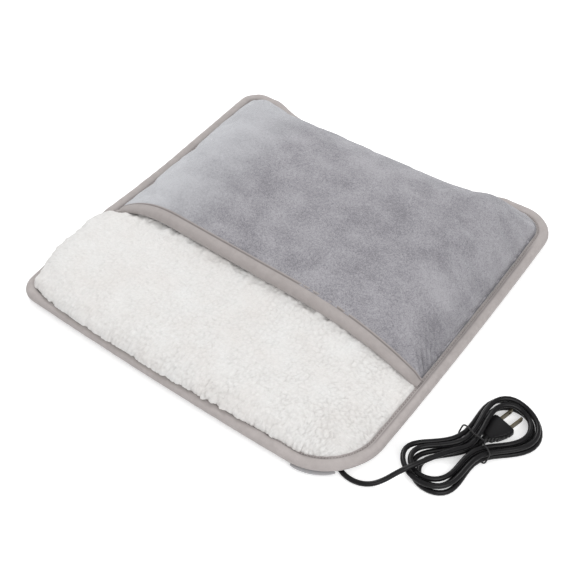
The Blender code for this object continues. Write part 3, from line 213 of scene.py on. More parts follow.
def plan(x, y):
    """Moves places of the square pad to the sewn outline, whose corners are round."""
    front, back = CORNER_RADII
    radius = np.where(y < 0, np.where(x > 0, front[1], front[0]), np.where(x > 0, back[1], back[0]))
    over_x = np.abs(x) - (HALF_WIDTH - radius)
    over_y = np.abs(y) - (HALF_DEPTH - radius)
    corner = (over_x > 0) & (over_y > 0)
    reach = np.maximum(over_x, over_y)
    ratio = np.minimum(over_x, over_y) / np.where(corner, reach, 1)
    turn = np.where(over_x >= over_y, math.pi / 4 * ratio, math.pi / 2 - math.pi / 4 * ratio)
    round_x = np.copysign(HALF_WIDTH - radius + reach * np.cos(turn), x)
    round_y = np.copysign(HALF_DEPTH - radius + reach * np.sin(turn), y)
    return bellied(np.where(corner, round_x, x), np.where(corner, round_y, y))


def edge_inset(x, y):
    return np.minimum(HALF_WIDTH - np.abs(x), HALF_DEPTH - np.abs(y))


def rise(inset, run=FLANK_RUN, steepness=FLANK_STEEPNESS):
    """How far a quilted flank has risen at this distance from the edge, 0 to 1."""
    return 1 - (1 - clip01((inset - COVER_INSET) / run)) ** steepness


def side_rise(x, y):
    """A side's rise: quick where the sherpa shows, gentle under the cover, slackest at the mouth."""
    inset = HALF_WIDTH - np.abs(x)
    slack = np.where(x > 0, rise(inset, 0.150, SIDE_STEEPNESS), rise(inset, 0.080, SIDE_STEEPNESS))
    covered = mix(slack, rise(inset, SIDE_RUN, SIDE_STEEPNESS), smooth((y - MOUTH_Y) / 0.08))
    open_share = np.where(x > 0, smooth((-0.080 - y) / 0.090), smooth((MOUTH_Y - y) / 0.030))
    return mix(covered, rise(inset), open_share)


def settle(x, y, share):
    return clip01((edge_inset(x, y) - COVER_INSET) / (FLANK_RUN * share))


def rear_rise(x, y):
    """The rear flank's rise, which is lower towards the back corners."""
    drop = np.where(x > 0, REAR_CORNER_DROPS[1], REAR_CORNER_DROPS[0]) * (
        x / HALF_WIDTH) ** 2 * (np.maximum(y, 0) / HALF_DEPTH) ** 2
    return rise(HALF_DEPTH - y, REAR_RUN) * (1 - drop)


def base_puff(x, y):
    ends = np.where(y > 0, rear_rise(x, y), rise(HALF_DEPTH + y))
    return side_rise(x, y) * ends


def cover_puff(x, y):
    return side_rise(x, y) * rear_rise(x, y)


def seam_level(layer):
    return SEAM_FLOOR + layer * SEAM_STEP


def panel_low(x, y):
    return mix(seam_level(0), 0, smooth(settle(x, y, 0.4)))


def lower_wadding_high(x, y):
    return mix(seam_level(1) + SEAM_LAYER, LOWER_WADDING_TOP, smooth(settle(x, y, 0.45)))


def upper_wadding_low(x, y):
    return mix(seam_level(2), HEATER_TOP, smooth(settle(x, y, 0.45)))


def base_top(x, y):
    crown = BASE_CROWN * (1 - (x / HALF_WIDTH) ** 2) * (1 - (y / HALF_DEPTH) ** 2)
    return SEAM_TOP + (BASE_SHOULDER - SEAM_TOP + crown) * base_puff(x, y)


def fleece_low(x, y):
    return base_top(x, y) - mix(SEAM_LAYER, SHERPA_THICKNESS, base_puff(x, y))


def cover_low(x, y):
    return base_top(x, y) + mix(COVER_GAP, POCKET_HEIGHT, cover_puff(x, y))


def cover_thickness(x, y):
    share = np.sin(clip01((y - MOUTH_Y) / MOUTH_RUN) * math.pi / 2)
    back = clip01((y - MOUTH_Y) / (HALF_DEPTH - MOUTH_Y))
    dome = (1 - (x / HALF_WIDTH) ** 2) * np.sin(back ** 1.5 * math.pi)
    puff = cover_puff(x, y)
    thickness = mix(COVER_RIM, COVER_THICKNESS, puff * mix(MOUTH_SHARE, 1, share))
    return thickness + COVER_DOME * dome * puff


def cover_high(x, y):
    return cover_low(x, y) + cover_thickness(x, y)


def lining_high(x, y):
    plump = (cover_thickness(x, y) - COVER_RIM) / (COVER_THICKNESS - COVER_RIM)
    return cover_low(x, y) + mix(SKIN_RIM, LINING_THICKNESS, plump)


# ---------------------------------------------------------------- meshes by hand

def only(piece):
    """Makes this the one selected, active object."""
    bpy.ops.object.select_all(action="DESELECT")
    piece.select_set(True)
    bpy.context.view_layer.objects.active = piece


def fresh_grid(name, cells_x, cells_y):
    bpy.ops.object.select_all(action="DESELECT")
    bpy.ops.mesh.primitive_grid_add(x_subdivisions=cells_x, y_subdivisions=cells_y, size=2)
    piece = bpy.context.object
    piece.name = piece.data.name = name
    return piece


def ball(segments, radius):
    """A small sphere, for copies to be made of."""
    bpy.ops.object.select_all(action="DESELECT")
    bpy.ops.mesh.primitive_uv_sphere_add(segments=segments, ring_count=4, radius=radius)
    return bpy.context.object


def places(piece):
    """A mesh's points, one row each."""
    co = np.empty(len(piece.data.vertices) * 3)
    piece.data.vertices.foreach_get("co", co)
    return co.reshape(-1, 3)


def put(piece, co):
    piece.data.vertices.foreach_set("co", np.asarray(co, np.float32).ravel())
    piece.data.update()


def size_uv(piece, wide, long):
    """Gives the piece's UV map in metres, from one that runs from 0 to 1."""
    layer = piece.data.uv_layers[0].uv
    uv = np.empty(len(layer) * 2, np.float32)
    layer.foreach_get("vector", uv)
    layer.foreach_set("vector", (uv.reshape(-1, 2) * (wide, long)).astype(np.float32).ravel())


def close_up(piece, merge=True, bridge=False):
    """Welds, closes what is open and turns every face outwards."""
    only(piece)
    bpy.ops.object.mode_set(mode="EDIT")
    bpy.ops.mesh.select_mode(type="EDGE")
    bpy.ops.mesh.select_all(action="SELECT")
    if merge:
        bpy.ops.mesh.remove_doubles(threshold=0.000002)
    bpy.ops.mesh.select_all(action="DESELECT")
    bpy.ops.mesh.select_non_manifold(use_wire=False, use_multi_face=False,
                                     use_non_contiguous=False, use_verts=False)
    if bridge:
        bpy.ops.mesh.bridge_edge_loops()
    bpy.ops.mesh.select_all(action="SELECT")
    if not bridge:
        bpy.ops.mesh.fill_holes(sides=0)
        bpy.ops.mesh.select_all(action="SELECT")
    bpy.ops.mesh.normals_make_consistent(inside=False)
    bpy.ops.object.mode_set(mode="OBJECT")


def soften(piece, degrees=40):
    only(piece)
    bpy.ops.object.shade_smooth_by_angle(angle=math.radians(degrees), keep_sharp_edges=False)


def quilt(name, over, under):
    """A closed layer: an upper and a lower grid, each (columns, rows, surface), joined at the rim."""
    piece = fresh_grid(name, len(over[0]) - 1, len(over[1]) - 1)
    count = len(piece.data.vertices)
    bpy.ops.object.mode_set(mode="EDIT")
    bpy.ops.mesh.select_all(action="DESELECT")
    bpy.ops.mesh.primitive_grid_add(x_subdivisions=len(under[0]) - 1,
                                    y_subdivisions=len(under[1]) - 1, size=2)
    bpy.ops.object.mode_set(mode="OBJECT")
    co = places(piece)
    for part, (columns, rows, surface) in ((slice(None, count), over), (slice(count, None), under)):
        co[part] = np.stack(surface(*np.meshgrid(columns, rows)), axis=-1).reshape(-1, 3)
    put(piece, co)
    close_up(piece, merge=False, bridge=True)
    soften(piece, 50)
    return piece


def layer(name, grid, high, low):
    """A quilted layer between two height functions, both on the same grid."""
    return quilt(name, (*grid, flat_surface(high)), (*grid, flat_surface(low)))


def swept(name, rings, loop=False, around=1.0, along=1.0):
    """A skin over rings of points, closed round each ring, its ends joined or capped."""
    if loop:
        rings = np.concatenate((rings, rings[:1]))
    rings = np.concatenate((rings, rings[:, :1]), axis=1)
    piece = fresh_grid(name, rings.shape[1] - 1, rings.shape[0] - 1)
    put(piece, rings.reshape(-1, 3))
    size_uv(piece, around, along)
    close_up(piece)
    soften(piece)
    return piece


def lengths(path):
    """Distance travelled at each point of a path."""
    steps = np.linalg.norm(np.diff(path, axis=0), axis=1)
    return np.concatenate(([0.0], np.cumsum(steps)))


def carried_frames(path, up=None):
    """Side and up directions along a path, kept level, or carried without twist."""
    ahead = np.gradient(path, axis=0)
    ahead /= np.linalg.norm(ahead, axis=1)[:, None]
    if up is not None:
        side = np.cross(ahead, np.array(up, float))
        side /= np.linalg.norm(side, axis=1)[:, None]
        return side, np.cross(side, ahead)
    start = np.cross(ahead[0], (0.0, 0.0, 1.0))
    sides = [start / np.linalg.norm(start)]
    for direction in ahead[1:]:
        side = sides[-1] - direction * (sides[-1] @ direction)
        sides.append(side / np.linalg.norm(side))
    side = np.array(sides)
    return side, np.cross(side, ahead)


def pressed_circle(angles, power):
    """A circle's cosines and sines, pressed towards a square by a power below 1."""
    return [np.copysign(np.abs(wave) ** power, wave) for wave in (np.cos(angles), np.sin(angles))]


def loft(name, path, wide, high, corner=1.0, sides=12, up=None):
    """A tube along a path, round or squarish, whose width and height may change along it."""
    path = np.array([tuple(point) for point in path], float)
    side, upward = carried_frames(path, up)
    across, rising = pressed_circle(2 * math.pi * np.arange(sides) / sides, corner)
    wide = np.broadcast_to(np.asarray(wide, float), len(path))
    high = np.broadcast_to(np.asarray(high, float), len(path))
    rings = (path[:, None] + side[:, None] * across[None, :, None] * wide[:, None, None] / 2
             + upward[:, None] * rising[None, :, None] * high[:, None, None] / 2)
    return swept(name, rings, around=math.pi * float(wide.max()), along=lengths(path)[-1])


def hem(curves, thickness):
    """Closes cloth-thick rings from open curves in a plane: (stations, points, 2)."""
    ahead = np.gradient(curves, axis=1)
    ahead /= np.linalg.norm(ahead, axis=2)[..., None] + 1e-12
    normal = np.stack((-ahead[..., 1], ahead[..., 0]), axis=-1)
    return np.concatenate((curves, (curves + normal * thickness)[:, ::-1]), axis=1)


def copies(name, pattern, matrices):
    """One mesh of many copies of a pattern piece, which is then removed."""
    points = np.c_[places(pattern), np.ones(len(pattern.data.vertices))]
    faces = [tuple(polygon.vertices) for polygon in pattern.data.polygons]
    stacked = np.concatenate([points @ np.array(matrix).T[:, :3] for matrix in matrices])
    count = len(points)
    mesh = bpy.data.meshes.new(name)
    mesh.from_pydata(stacked.tolist(), [], [tuple(corner + count * index for corner in face)
                                            for index in range(len(matrices)) for face in faces])
    piece = bpy.data.objects.new(name, mesh)
    bpy.context.scene.collection.objects.link(piece)
    bpy.data.objects.remove(pattern, do_unlink=True)
    soften(piece, 60)
    return piece


def normals_of(px, py, pz):
    """Unit normals of a surface given as three grids."""
    points = np.stack((px, py, pz), axis=-1)
    normal = np.cross(np.gradient(points, axis=1), np.gradient(points, axis=0))
    return normal / (np.linalg.norm(normal, axis=-1)[..., None] + 1e-12)


def raised(px, py, pz, lift, extra=0):
    """A surface's places, moved along its own normals, and up by what is extra."""
    normal = normals_of(px, py, pz)
    return (px + normal[..., 0] * lift, py + normal[..., 1] * lift,
            pz + extra + normal[..., 2] * lift)


def cut_away(piece, cutter):
    """Takes a cutter's shape out of a piece, and removes the cutter."""
    only(piece)
    bpy.ops.object.modifier_add(type="BOOLEAN")
    cut = piece.modifiers[-1]
    cut.operation = "DIFFERENCE"
    cut.object = cutter
    bpy.ops.object.modifier_apply(modifier=cut.name)
    bpy.data.objects.remove(cutter, do_unlink=True)


def paint(piece, name, values):
    """A number at each point, for the material to read."""
    attribute = piece.data.attributes.new(name, "FLOAT", "POINT")
    attribute.data.foreach_set("value", np.asarray(values, np.float32).ravel())


def finish_as(piece, material, body="pad_base", replaces=()):
    """Gives a piece its finish and its body, and hides the CAD nodes that it stands for."""
    piece.data.materials.clear()
    piece.data.materials.append(material)
    if body:
        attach(piece, body)
    if replaces:
        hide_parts(*replaces)
    return piece


def lift_middle(piece):
    """Bakes the piece's placement into its mesh."""
    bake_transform(piece)


# ---------------------------------------------------------------- finishes

def connect(tree, port, value):
    """Links a wire to a socket, or sets the socket to a plain value."""
    if isinstance(value, Wire):
        tree.links.new(value.socket, port)
    else:
        port.default_value = (*value, 1) if port.type == "RGBA" and len(value) == 3 else value


def joined(tree, kind, *values):
    """A new node whose sockets take these values in order."""
    node = tree.nodes.new("ShaderNode" + kind)
    for port, value in zip(node.inputs, values):
        connect(tree, port, value)
    return Wire(tree, node.outputs[0])


class Wire:
    """A socket of a finish, so that shader maths is written as arithmetic."""

    def __init__(self, tree, socket):
        self.tree = tree
        self.socket = socket

    def maths(self, operation, *others, last=False):
        result = joined(self.tree, "Math", *(others + (self,) if last else (self,) + others))
        result.socket.node.operation = operation
        return result

    def __add__(self, other):
        return self.maths("ADD", other)

    def __sub__(self, other):
        return self.maths("SUBTRACT", other)

    def __rsub__(self, other):
        return self.maths("SUBTRACT", other, last=True)

    def __mul__(self, other):
        return self.maths("MULTIPLY", other)

    __radd__ = __add__
    __rmul__ = __mul__

    def clamp(self, low=0.0, high=1.0):
        return self.maths("MAXIMUM", low).maths("MINIMUM", high)


class Finish:
    """One procedural material and the nodes that it is built from."""

    def __init__(self, name, **settings):
        self.material = bpy.data.materials.new(name)
        self.material.use_nodes = True
        self.tree = self.material.node_tree
        self.shader = self.tree.nodes["Principled BSDF"]
        for socket, value in settings.items():
            self.shader.inputs[socket.replace("_", " ").title()].default_value = value

    def node(self, kind, output=0, **inputs):
        """Adds a node, fills its sockets and gives one output."""
        node = self.tree.nodes.new("ShaderNode" + kind)
        for name, value in inputs.items():
            connect(self.tree, node.inputs[name], value)
        return Wire(self.tree, node.outputs[output])

    def where(self):
        return self.node("TexCoord", 3)

    def uv(self):
        return self.node("TexCoord", 2)

    def across_and_along(self, vector):
        """A vector's first two parts."""
        return [self.node("SeparateXYZ", part, Vector=vector) for part in (0, 1)]

    def stretched(self, vector, scale):
        return self.node("Mapping", Vector=vector, Scale=scale)

    def noise(self, vector, size, detail=2.0, rough=0.5):
        """Noise from 0 to 1 whose grain is about size metres."""
        return self.node("TexNoise", Vector=vector, Scale=1 / size, Detail=detail, Roughness=rough)

    def blend(self, share, first, second):
        """A colour between two colours."""
        node = self.tree.nodes.new("ShaderNodeMix")
        node.data_type = "RGBA"
        for port, value in ((0, share), (6, first), (7, second)):
            connect(self.tree, node.inputs[port], value)
        return Wire(self.tree, node.outputs[2])

    def read(self, name):
        """A number that was painted on the mesh."""
        wire = self.node("Attribute", 2)
        wire.socket.node.attribute_name = name
        return wire

    def feed(self, socket, wire):
        self.tree.links.new(wire.socket, self.shader.inputs[socket])

    def bump(self, height, distance, strength=1.0):
        self.feed("Normal", self.node("Bump", Height=height, Distance=distance, Strength=strength))


def linear(value):
    """A screen colour of 0 to 255 as the shader wants it."""
    return tuple(((part / 255 + 0.055) / 1.055) ** 2.4 for part in value)


def fleece_finish(colours):
    finish = Finish("sherpa_pile", roughness=1.0, sheen_weight=0.25, sheen_roughness=0.6)
    here = finish.where()
    tint = finish.noise(here, 0.035, 3.0)
    base = finish.blend((tint * 1.6 - 0.4).clamp(), colours.fleece, colours.fleece_warm)
    fibre = finish.noise(here, 0.0011, 4.0, 0.7)
    # Painted shade between the curls, mixed with the fibres' own grain.
    dark = (finish.read("crevice_shade") * 0.85 + (0.5 - fibre) * 0.35).clamp()
    finish.feed("Base Color", finish.blend(dark, base, colours.fleece_shade))
    finish.bump(fibre + finish.noise(here, 0.0028, 2.0) * 1.5, 0.0011, 0.75)
    return finish.material


def flannel_finish(colours):
    """Crushed nap, painted lighter towards the left where the nap lies flat, as a painted sheen, and with
    painted shade at the seam and in the puckers.
    """
    finish = Finish("crushed_flannel", roughness=0.95, sheen_weight=0.5, sheen_roughness=0.4,
                    sheen_tint=(0.95, 0.97, 1.0, 1))
    here = finish.where()
    across = finish.node("SeparateXYZ", Vector=here)
    patches = finish.noise(finish.stretched(here, (1.0, 1.3, 1.0)), 0.032, 2.0, 0.45)
    soft = finish.noise(here, 0.085, 1.0)
    nap = finish.noise(here, 0.0011, 2.0, 0.8)
    clumps = finish.noise(here, 0.0026, 2.0, 0.7)
    shade = ((patches - 0.5) * 1.2 + (soft - 0.5) * 0.5 + (clumps - 0.5) * 1.2
             + (nap - 0.5) * 2.4 + 0.5).clamp()
    cloth = finish.blend(shade, colours.flannel_dark, colours.flannel)
    patchy = 0.1 + soft * 1.2 + patches * 0.7 + (clumps - 0.5) * 0.5
    # Painted sheen: the colour turns lighter in patches towards the left edge, where the nap lies flat
    # and catches the light.
    lying_sheen = ((across * -9.0 - 0.55).clamp() * patchy).clamp()
    cloth = finish.blend(lying_sheen, cloth, colours.flannel_lying)
    # Painted shade: darker at the seam along the tape and in the valleys of the puckers.
    finish.feed("Base Color", finish.blend(finish.read("seam_and_fold_shade") * 0.8, cloth, colours.flannel_seam))
    finish.feed("Roughness", 0.85 + 0.15 * nap)
    finish.bump(nap * 1.4 + clumps * 1.2 + patches, 0.0008, 0.8)
    return finish.material


def tape_finish(colours, name, shade_share):
    """Woven tape; the last argument is how far its light colour is painted towards its shade colour, as
    painted shade.
    """
    finish = Finish(name, roughness=0.9, sheen_weight=0.2, sheen_roughness=0.5)
    apart, along = finish.across_and_along(finish.uv())
    twill = ((along + apart) * 5200.0).maths("SINE") * 0.5 + 0.5
    weft = ((along - apart * 0.4) * 9000.0).maths("SINE") * 0.5 + 0.5
    cloth = finish.noise(finish.where(), 0.012, 3.0)
    wrinkle = finish.noise(finish.where(), 0.0045, 2.0)
    # The wrinkle noise also darkens the colour where the wrinkles dip: painted shade.
    shade = (twill * 0.35 + weft * 0.15 + (cloth - 0.5) * 0.8
             + (wrinkle - 0.5) * 0.6 + 0.25).clamp()
    light = tuple(mix(bright, dull, shade_share) for bright, dull in zip(colours.tape, colours.tape_shade))
    dark = tuple(dull * (1 - 0.15 * shade_share) for dull in colours.tape_shade)
    colour = finish.blend(shade, dark, light)
    # Painted shade along the stitched groove and where the flannel laps over the tape.
    finish.feed("Base Color", finish.blend(finish.read("groove_shade") * 0.75, colour, colours.tape_groove))
    finish.bump(twill + weft * 0.5 + wrinkle * 3.5, 0.0003, 0.5)
    return finish.material


def thread_finish(colours):
    finish = Finish("sewing_thread", roughness=0.7)
    tint = finish.noise(finish.where(), 0.002, 2.0)
    finish.feed("Base Color", finish.blend(tint, colours.tape_shade, colours.tape))
    return finish.material


def plain_cloth_finish(name, light, dark, weave=0.0009):
    """A plain woven or felted cloth."""
    finish = Finish(name, roughness=0.95)
    here = finish.where()
    apart, depth = finish.across_and_along(here)
    turn = 2 * math.pi / weave
    threads = (apart * turn).maths("SINE") * (depth * turn).maths("SINE") * 0.5 + 0.5
    cloud = finish.noise(here, 0.02, 3.0)
    fuzz = finish.noise(here, weave * 1.5, 3.0, 0.7)
    shade = (threads * 0.4 + (cloud - 0.5) * 0.8 + (fuzz - 0.5) * 0.6 + 0.3).clamp()
    finish.feed("Base Color", finish.blend(shade, dark, light))
    finish.bump(threads + fuzz * 0.6, weave * 0.35, 0.6)
    return finish.material


def moulded_finish(name, colour, roughness, grain=0.0006, gloss=0.5):
    """Moulded plastic or rubber with a fine grain and faint handling marks."""
    finish = Finish(name)
    finish.shader.inputs["Specular IOR Level"].default_value = gloss
    here = finish.where()
    cloud = finish.noise(here, 0.012, 3.0)
    fine = finish.noise(here, grain, 2.0)
    lighter = tuple(min(part * 1.5 + 0.004, 1) for part in colour)
    finish.feed("Base Color", finish.blend((cloud * 1.4 - 0.2).clamp(), colour, lighter))
    worn = roughness + (cloud - 0.5) * 0.18 + (fine - 0.5) * 0.10
    finish.feed("Roughness", worn.clamp(0.05, 1.0))
    finish.bump(fine, grain * 0.25, 0.4)
    return finish.material


def metal_finish(name, colour, roughness, brushed=(1.0, 1.0, 1.0)):
    """Bare or plated metal, brushed along the direction that is scaled least."""
    finish = Finish(name, metallic=1.0)
    here = finish.stretched(finish.where(), brushed)
    scratch = finish.noise(here, 0.0008, 3.0, 0.6)
    dull = finish.noise(finish.where(), 0.006, 3.0)
    darker = tuple(part * 0.62 for part in colour)
    finish.feed("Base Color", finish.blend((dull * 1.5 - 0.4).clamp(), colour, darker))
    worn = roughness + (scratch - 0.5) * 0.25 + (dull - 0.5) * 0.2
    finish.feed("Roughness", worn.clamp(0.08, 1.0))
    finish.bump(scratch, 0.00008, 0.4)
    return finish.material


# ---------------------------------------------------------------- what a user would change

class WarmerSizes(bpy.types.PropertyGroup):
    """Sizes of the cloth, pile and cord."""
    pile_height: FloatProperty(name="Pile height", description="Height of the sherpa's curls",
                               default=0.0040, unit="LENGTH")
    tuft_width: FloatProperty(name="Curl width", description="Width of one curl of the sherpa",
                              default=0.0050, unit="LENGTH")
    stitch_pitch: FloatProperty(name="Stitch pitch", description="Distance from stitch to stitch",
                                default=0.0034, unit="LENGTH")
    cord_diameter: FloatProperty(name="Cord diameter", description="Diameter of the mains cord",
                                 default=0.005, unit="LENGTH")
    grip_pitch: FloatProperty(name="Grip dot pitch", description="Distance between grip dots",
                              default=0.012, unit="LENGTH")
    puff_frames: IntProperty(name="Puff frames", description="Frames of the cover's puffing",
                             default=20, min=2, max=60)


def colour_property(name, value):
    return FloatVectorProperty(name=name, description=name + " colour", subtype="COLOR", size=3,
                               min=0, max=1, default=linear(value))


class WarmerColours(bpy.types.PropertyGroup):
    """Colours of the cloth, pile and fittings."""
    fleece: colour_property("Sherpa", (233, 233, 232))
    fleece_warm: colour_property("Sherpa, warm", (228, 224, 221))
    fleece_shade: colour_property("Sherpa, between curls", (186, 182, 178))
    flannel: colour_property("Flannel", (170, 168, 173))
    flannel_dark: colour_property("Flannel, crushed", (122, 120, 126))
    # Painted sheen on the flannel towards its left edge.
    flannel_lying: colour_property("Flannel, nap lying flat", (192, 193, 197))
    # Painted shade of the flannel at its seam and in its puckers.
    flannel_seam: colour_property("Flannel, at its seam", (84, 82, 86))
    tape: colour_property("Tape", (184, 177, 175))
    tape_shade: colour_property("Tape, in shade", (158, 151, 149))
    # Painted shade of the tape at its stitched groove.
    tape_groove: colour_property("Tape, at its seam", (98, 91, 90))
    sole: colour_property("Underside", (150, 149, 151))
    cord: colour_property("Cord", (12, 11, 13))
    floor: colour_property("Floor", (236, 236, 236))


def look(holder, place, target=(0, 0, 0)):
    """Puts a lamp or a camera in its place and turns it to its target."""
    bpy.context.scene.collection.objects.link(holder)
    holder.location = place
    holder.rotation_euler = (Vector(target) - Vector(place)).to_track_quat("-Z", "Y").to_euler()


class STAGE_OT_lay(bpy.types.Operator):
    """Lays the pale floor, hangs the soft lamps and sets the camera"""
    bl_idname = "foot_warmer.stage"
    bl_label = "Stage"

    def execute(self, context):
        scene = context.scene
        scene.view_settings.view_transform = "Standard"
        bpy.ops.object.select_all(action="DESELECT")
        bpy.ops.mesh.primitive_plane_add(size=FLOOR_SIZE, location=(0, 0, FLOOR_HEIGHT))
        floor = context.object
        floor.name = "floor"
        floor.data.materials.append(self.floor_finish(scene.warmer_colours))
        self.light(scene)
        camera = bpy.data.objects.new("camera", bpy.data.cameras.new("camera"))
        look(camera, CAMERA_PLACE, CAMERA_TARGET)
        camera.data.lens = CAMERA_LENS
        camera.data.sensor_width = CAMERA_SENSOR
        scene.camera = camera
        return {"FINISHED"}

    def floor_finish(self, colours):
        """A pale floor that glows only where the camera, a reflection or glass sees it."""
        finish = Finish("pale_floor", roughness=0.9, base_color=(*colours.floor, 1))
        tree = finish.tree
        plain = Wire(tree, finish.shader.outputs[0])
        glowing = joined(tree, "AddShader", plain, finish.node("Emission", Strength=FLOOR_GLOW))
        seen = finish.node("LightPath", "Is Camera Ray")
        for name in ("Is Glossy Ray", "Is Transmission Ray"):
            seen = seen.maths("MAXIMUM", finish.node("LightPath", name))
        choice = joined(tree, "MixShader", seen, plain, glowing)
        connect(tree, tree.nodes["Material Output"].inputs[0], choice)
        return finish.material

    def light(self, scene):
        """A white room, dimmer as a light than as a backdrop, and the two lamps."""
        world = bpy.data.worlds.new("soft_room")
        scene.world = world
        world.use_nodes = True
        tree = world.node_tree
        sky, seen = tree.nodes["Background"], tree.nodes.new("ShaderNodeBackground")
        sky.inputs["Strength"].default_value = ROOM_LIGHT
        for background in (sky, seen):
            background.inputs["Color"].default_value = (1, 1, 1, 1)
        rays = tree.nodes.new("ShaderNodeLightPath")
        choice = joined(tree, "MixShader", Wire(tree, rays.outputs["Is Camera Ray"]),
                        Wire(tree, sky.outputs[0]), Wire(tree, seen.outputs[0]))
        connect(tree, tree.nodes["World Output"].inputs[0], choice)
        for name, place, size, power in LAMPS:
            lamp = bpy.data.lights.new(name, "AREA")
            lamp.shape = "DISK"
            lamp.size, lamp.energy = size, power
            look(bpy.data.objects.new(name, lamp), place)


# ---------------------------------------------------------------- the cord

def hank_frame():
    return Matrix.Translation((HANK_X, HANK_Y, 0)) @ Matrix.Rotation(HANK_TURN, 4, "Z")


def hank_point(turns):
    """A place on the cord's loops, counted in turns from the near end of the hank."""
    last = HANK_LOOPS / 2 - 0.25
    first_layer = turns < last
    inward = HANK_PITCH * (HANK_LOOPS / 2 - 1 - turns if first_layer else turns - 2 * last + 1)
    angle = 2 * math.pi * turns
    far = math.cos(angle) < 0
    reach = (HANK_FAR_REACH if far else HANK_NEAR_REACH) - inward
    spread = HANK_FAR_BREADTH if far else HANK_NEAR_BREADTH
    waist = HANK_WAIST - inward * HANK_WAIST_PITCH / HANK_PITCH
    open_share = smooth(abs(math.cos(angle)))
    breadth = mix(waist, spread - HANK_NARROWING * inward, open_share)
    along = -math.cos(angle) * reach
    aside = -math.sin(angle) * breadth
    height = HANK_FLOOR + HANK_LAYER * smooth((turns - last + 0.3) / 0.55)
    if far:
        aside += HANK_FAR_LEAN * open_share
    elif not first_layer:
        aside += HANK_NEAR_LEAN * open_share
    if far and turns > last + 0.25:
        run = (turns % 1 - 0.5) / 0.25
        height += HANK_RIDE * smooth(run / 0.3) * smooth((1 - run) / 0.4)
    height += HANK_LIFT * (1 - smooth(abs(along) / HANK_LIFT_REACH))
    return hank_frame() @ Vector((along, aside, height))


def plug_frame():
    """X runs from the cord to the blades, and falls to the rear."""
    height = PLUG_FLOOR + (PLUG_FRONT_THICKNESS + PLUG_REAR_THICKNESS) / 4
    pitch = math.atan((PLUG_FRONT_THICKNESS - PLUG_REAR_THICKNESS) / 2 / PLUG_LENGTH)
    turn = Matrix.Rotation(PLUG_TURN, 4, "Z") @ Matrix.Rotation(-pitch, 4, "Y")
    return Matrix.Translation((PLUG_X, PLUG_Y, height)) @ turn


def smooth_route(points, step):
    """Points a step apart on a smooth curve through the given ones."""
    ends = [2 * points[0] - points[1], *points, 2 * points[-1] - points[-2]]
    route = []
    for before, start, end, after in zip(ends, ends[1:], ends[2:], ends[3:]):
        count = max(round((end - start).length / step), 1)
        for index in range(count):
            t = index / count
            route.append(0.5 * ((2 * start) + (end - before) * t
                                + (2 * before - 5 * start + 4 * end - after) * t ** 2
                                + (3 * start - before - 3 * end + after) * t ** 3))
    route.append(points[-1])
    return route


def cord_path():
    """The cord's line, from inside the clamp to the plug's neck."""
    loops = [hank_point(index / HANK_STEPS - 0.25) for index in range(HANK_LOOPS * HANK_STEPS + 1)]
    rear = plug_frame() @ Vector((-PLUG_LENGTH / 2 - NECK_GAP - NECK_LENGTH, 0, 0))
    back = plug_frame().to_3x3() @ Vector((-0.005, 0, 0))
    tail = smooth_route([rear, rear + back] + loops[:1], CORD_STEP)
    lead = smooth_route(loops[-1:] + [Vector(point) for point in LEAD_ROUTE], CORD_STEP)
    line = np.array([tuple(point) for point in tail[:-1] + loops + lead[1:]])[::-1]
    for _ in range(3):
        line[1:-1] = line[1:-1] * 0.5 + (line[:-2] + line[2:]) * 0.25
    return line


class CORD_OT_lay(bpy.types.Operator):
    """Lays the mains cord as one tube, from its clamp through the lead and the hank to the plug"""
    bl_idname = "foot_warmer.cord"
    bl_label = "Cord"

    def execute(self, context):
        sizes, colours = context.scene.warmer_sizes, context.scene.warmer_colours
        path = cord_path()
        cord = loft("mains_cord", path, sizes.cord_diameter, sizes.cord_diameter, sides=14)
        jacket = moulded_finish("cord_jacket", colours.cord, 0.29, 0.0005, gloss=0.20)
        finish_as(cord, jacket, replaces=("cord_hank", "cord_lead"))
        plug = self.plug(colours)
        plug + ["plug_blade_left", "plug_blade_right"]
        return {"FINISHED"}

    def plug(self, colours):
        """The moulded body with its finger grips, and the ribbed neck."""
        rubber = moulded_finish("plug_rubber", colours.cord, 0.42, 0.0007, gloss=0.18)
        spots = np.linspace(0, 1, 49)
        along = mix(-PLUG_LENGTH / 2, PLUG_LENGTH / 2, spots)
        rounding = np.sqrt(clip01(1 - clip01(1 - np.minimum(spots, 1 - spots) / 0.09) ** 2))
        gripped = (spots > 0.16) & (spots < 0.72)
        grips = 1 - 0.05 * smooth((np.sin(spots * 2 * math.pi * 6) + 0.2) * 2) * gripped
        wide = mix(PLUG_REAR_WIDTH, PLUG_FRONT_WIDTH, smooth(spots * 1.25))
        wide = wide * mix(0.84, 1, rounding) * grips
        high = mix(PLUG_REAR_THICKNESS, PLUG_FRONT_THICKNESS, spots) * mix(0.66, 1, rounding)
        place = plug_frame()
        body = loft("plug_moulding", [place @ Vector((spot, 0, 0)) for spot in along], wide, high,
                    corner=0.42, sides=32, up=place.col[2].xyz)
        finish_as(body, rubber, replaces=("plug_body",))
        steps = np.linspace(0, 1, 67)
        spine = mix(PLUG_LENGTH / 2 - 0.0004, PLUG_LENGTH / 2 + 0.0003 + NECK_LENGTH, steps)
        width = mix(0.0072, 0.0060, steps)
        ribs = np.clip(np.sin((steps * 4 + 0.15) * 2 * math.pi) * 3, -1, 1)
        width += np.where((steps > 0.08) & (steps < 0.97), 0.00035 * ribs, 0)
        neck = loft("plug_bend_relief", [place @ Vector((-spot, 0, 0)) for spot in spine], width, width,
                    sides=20)
        finish_as(neck, rubber, replaces=("plug_neck",))
        return [body, neck]


# ---------------------------------------------------------------- the twist tie

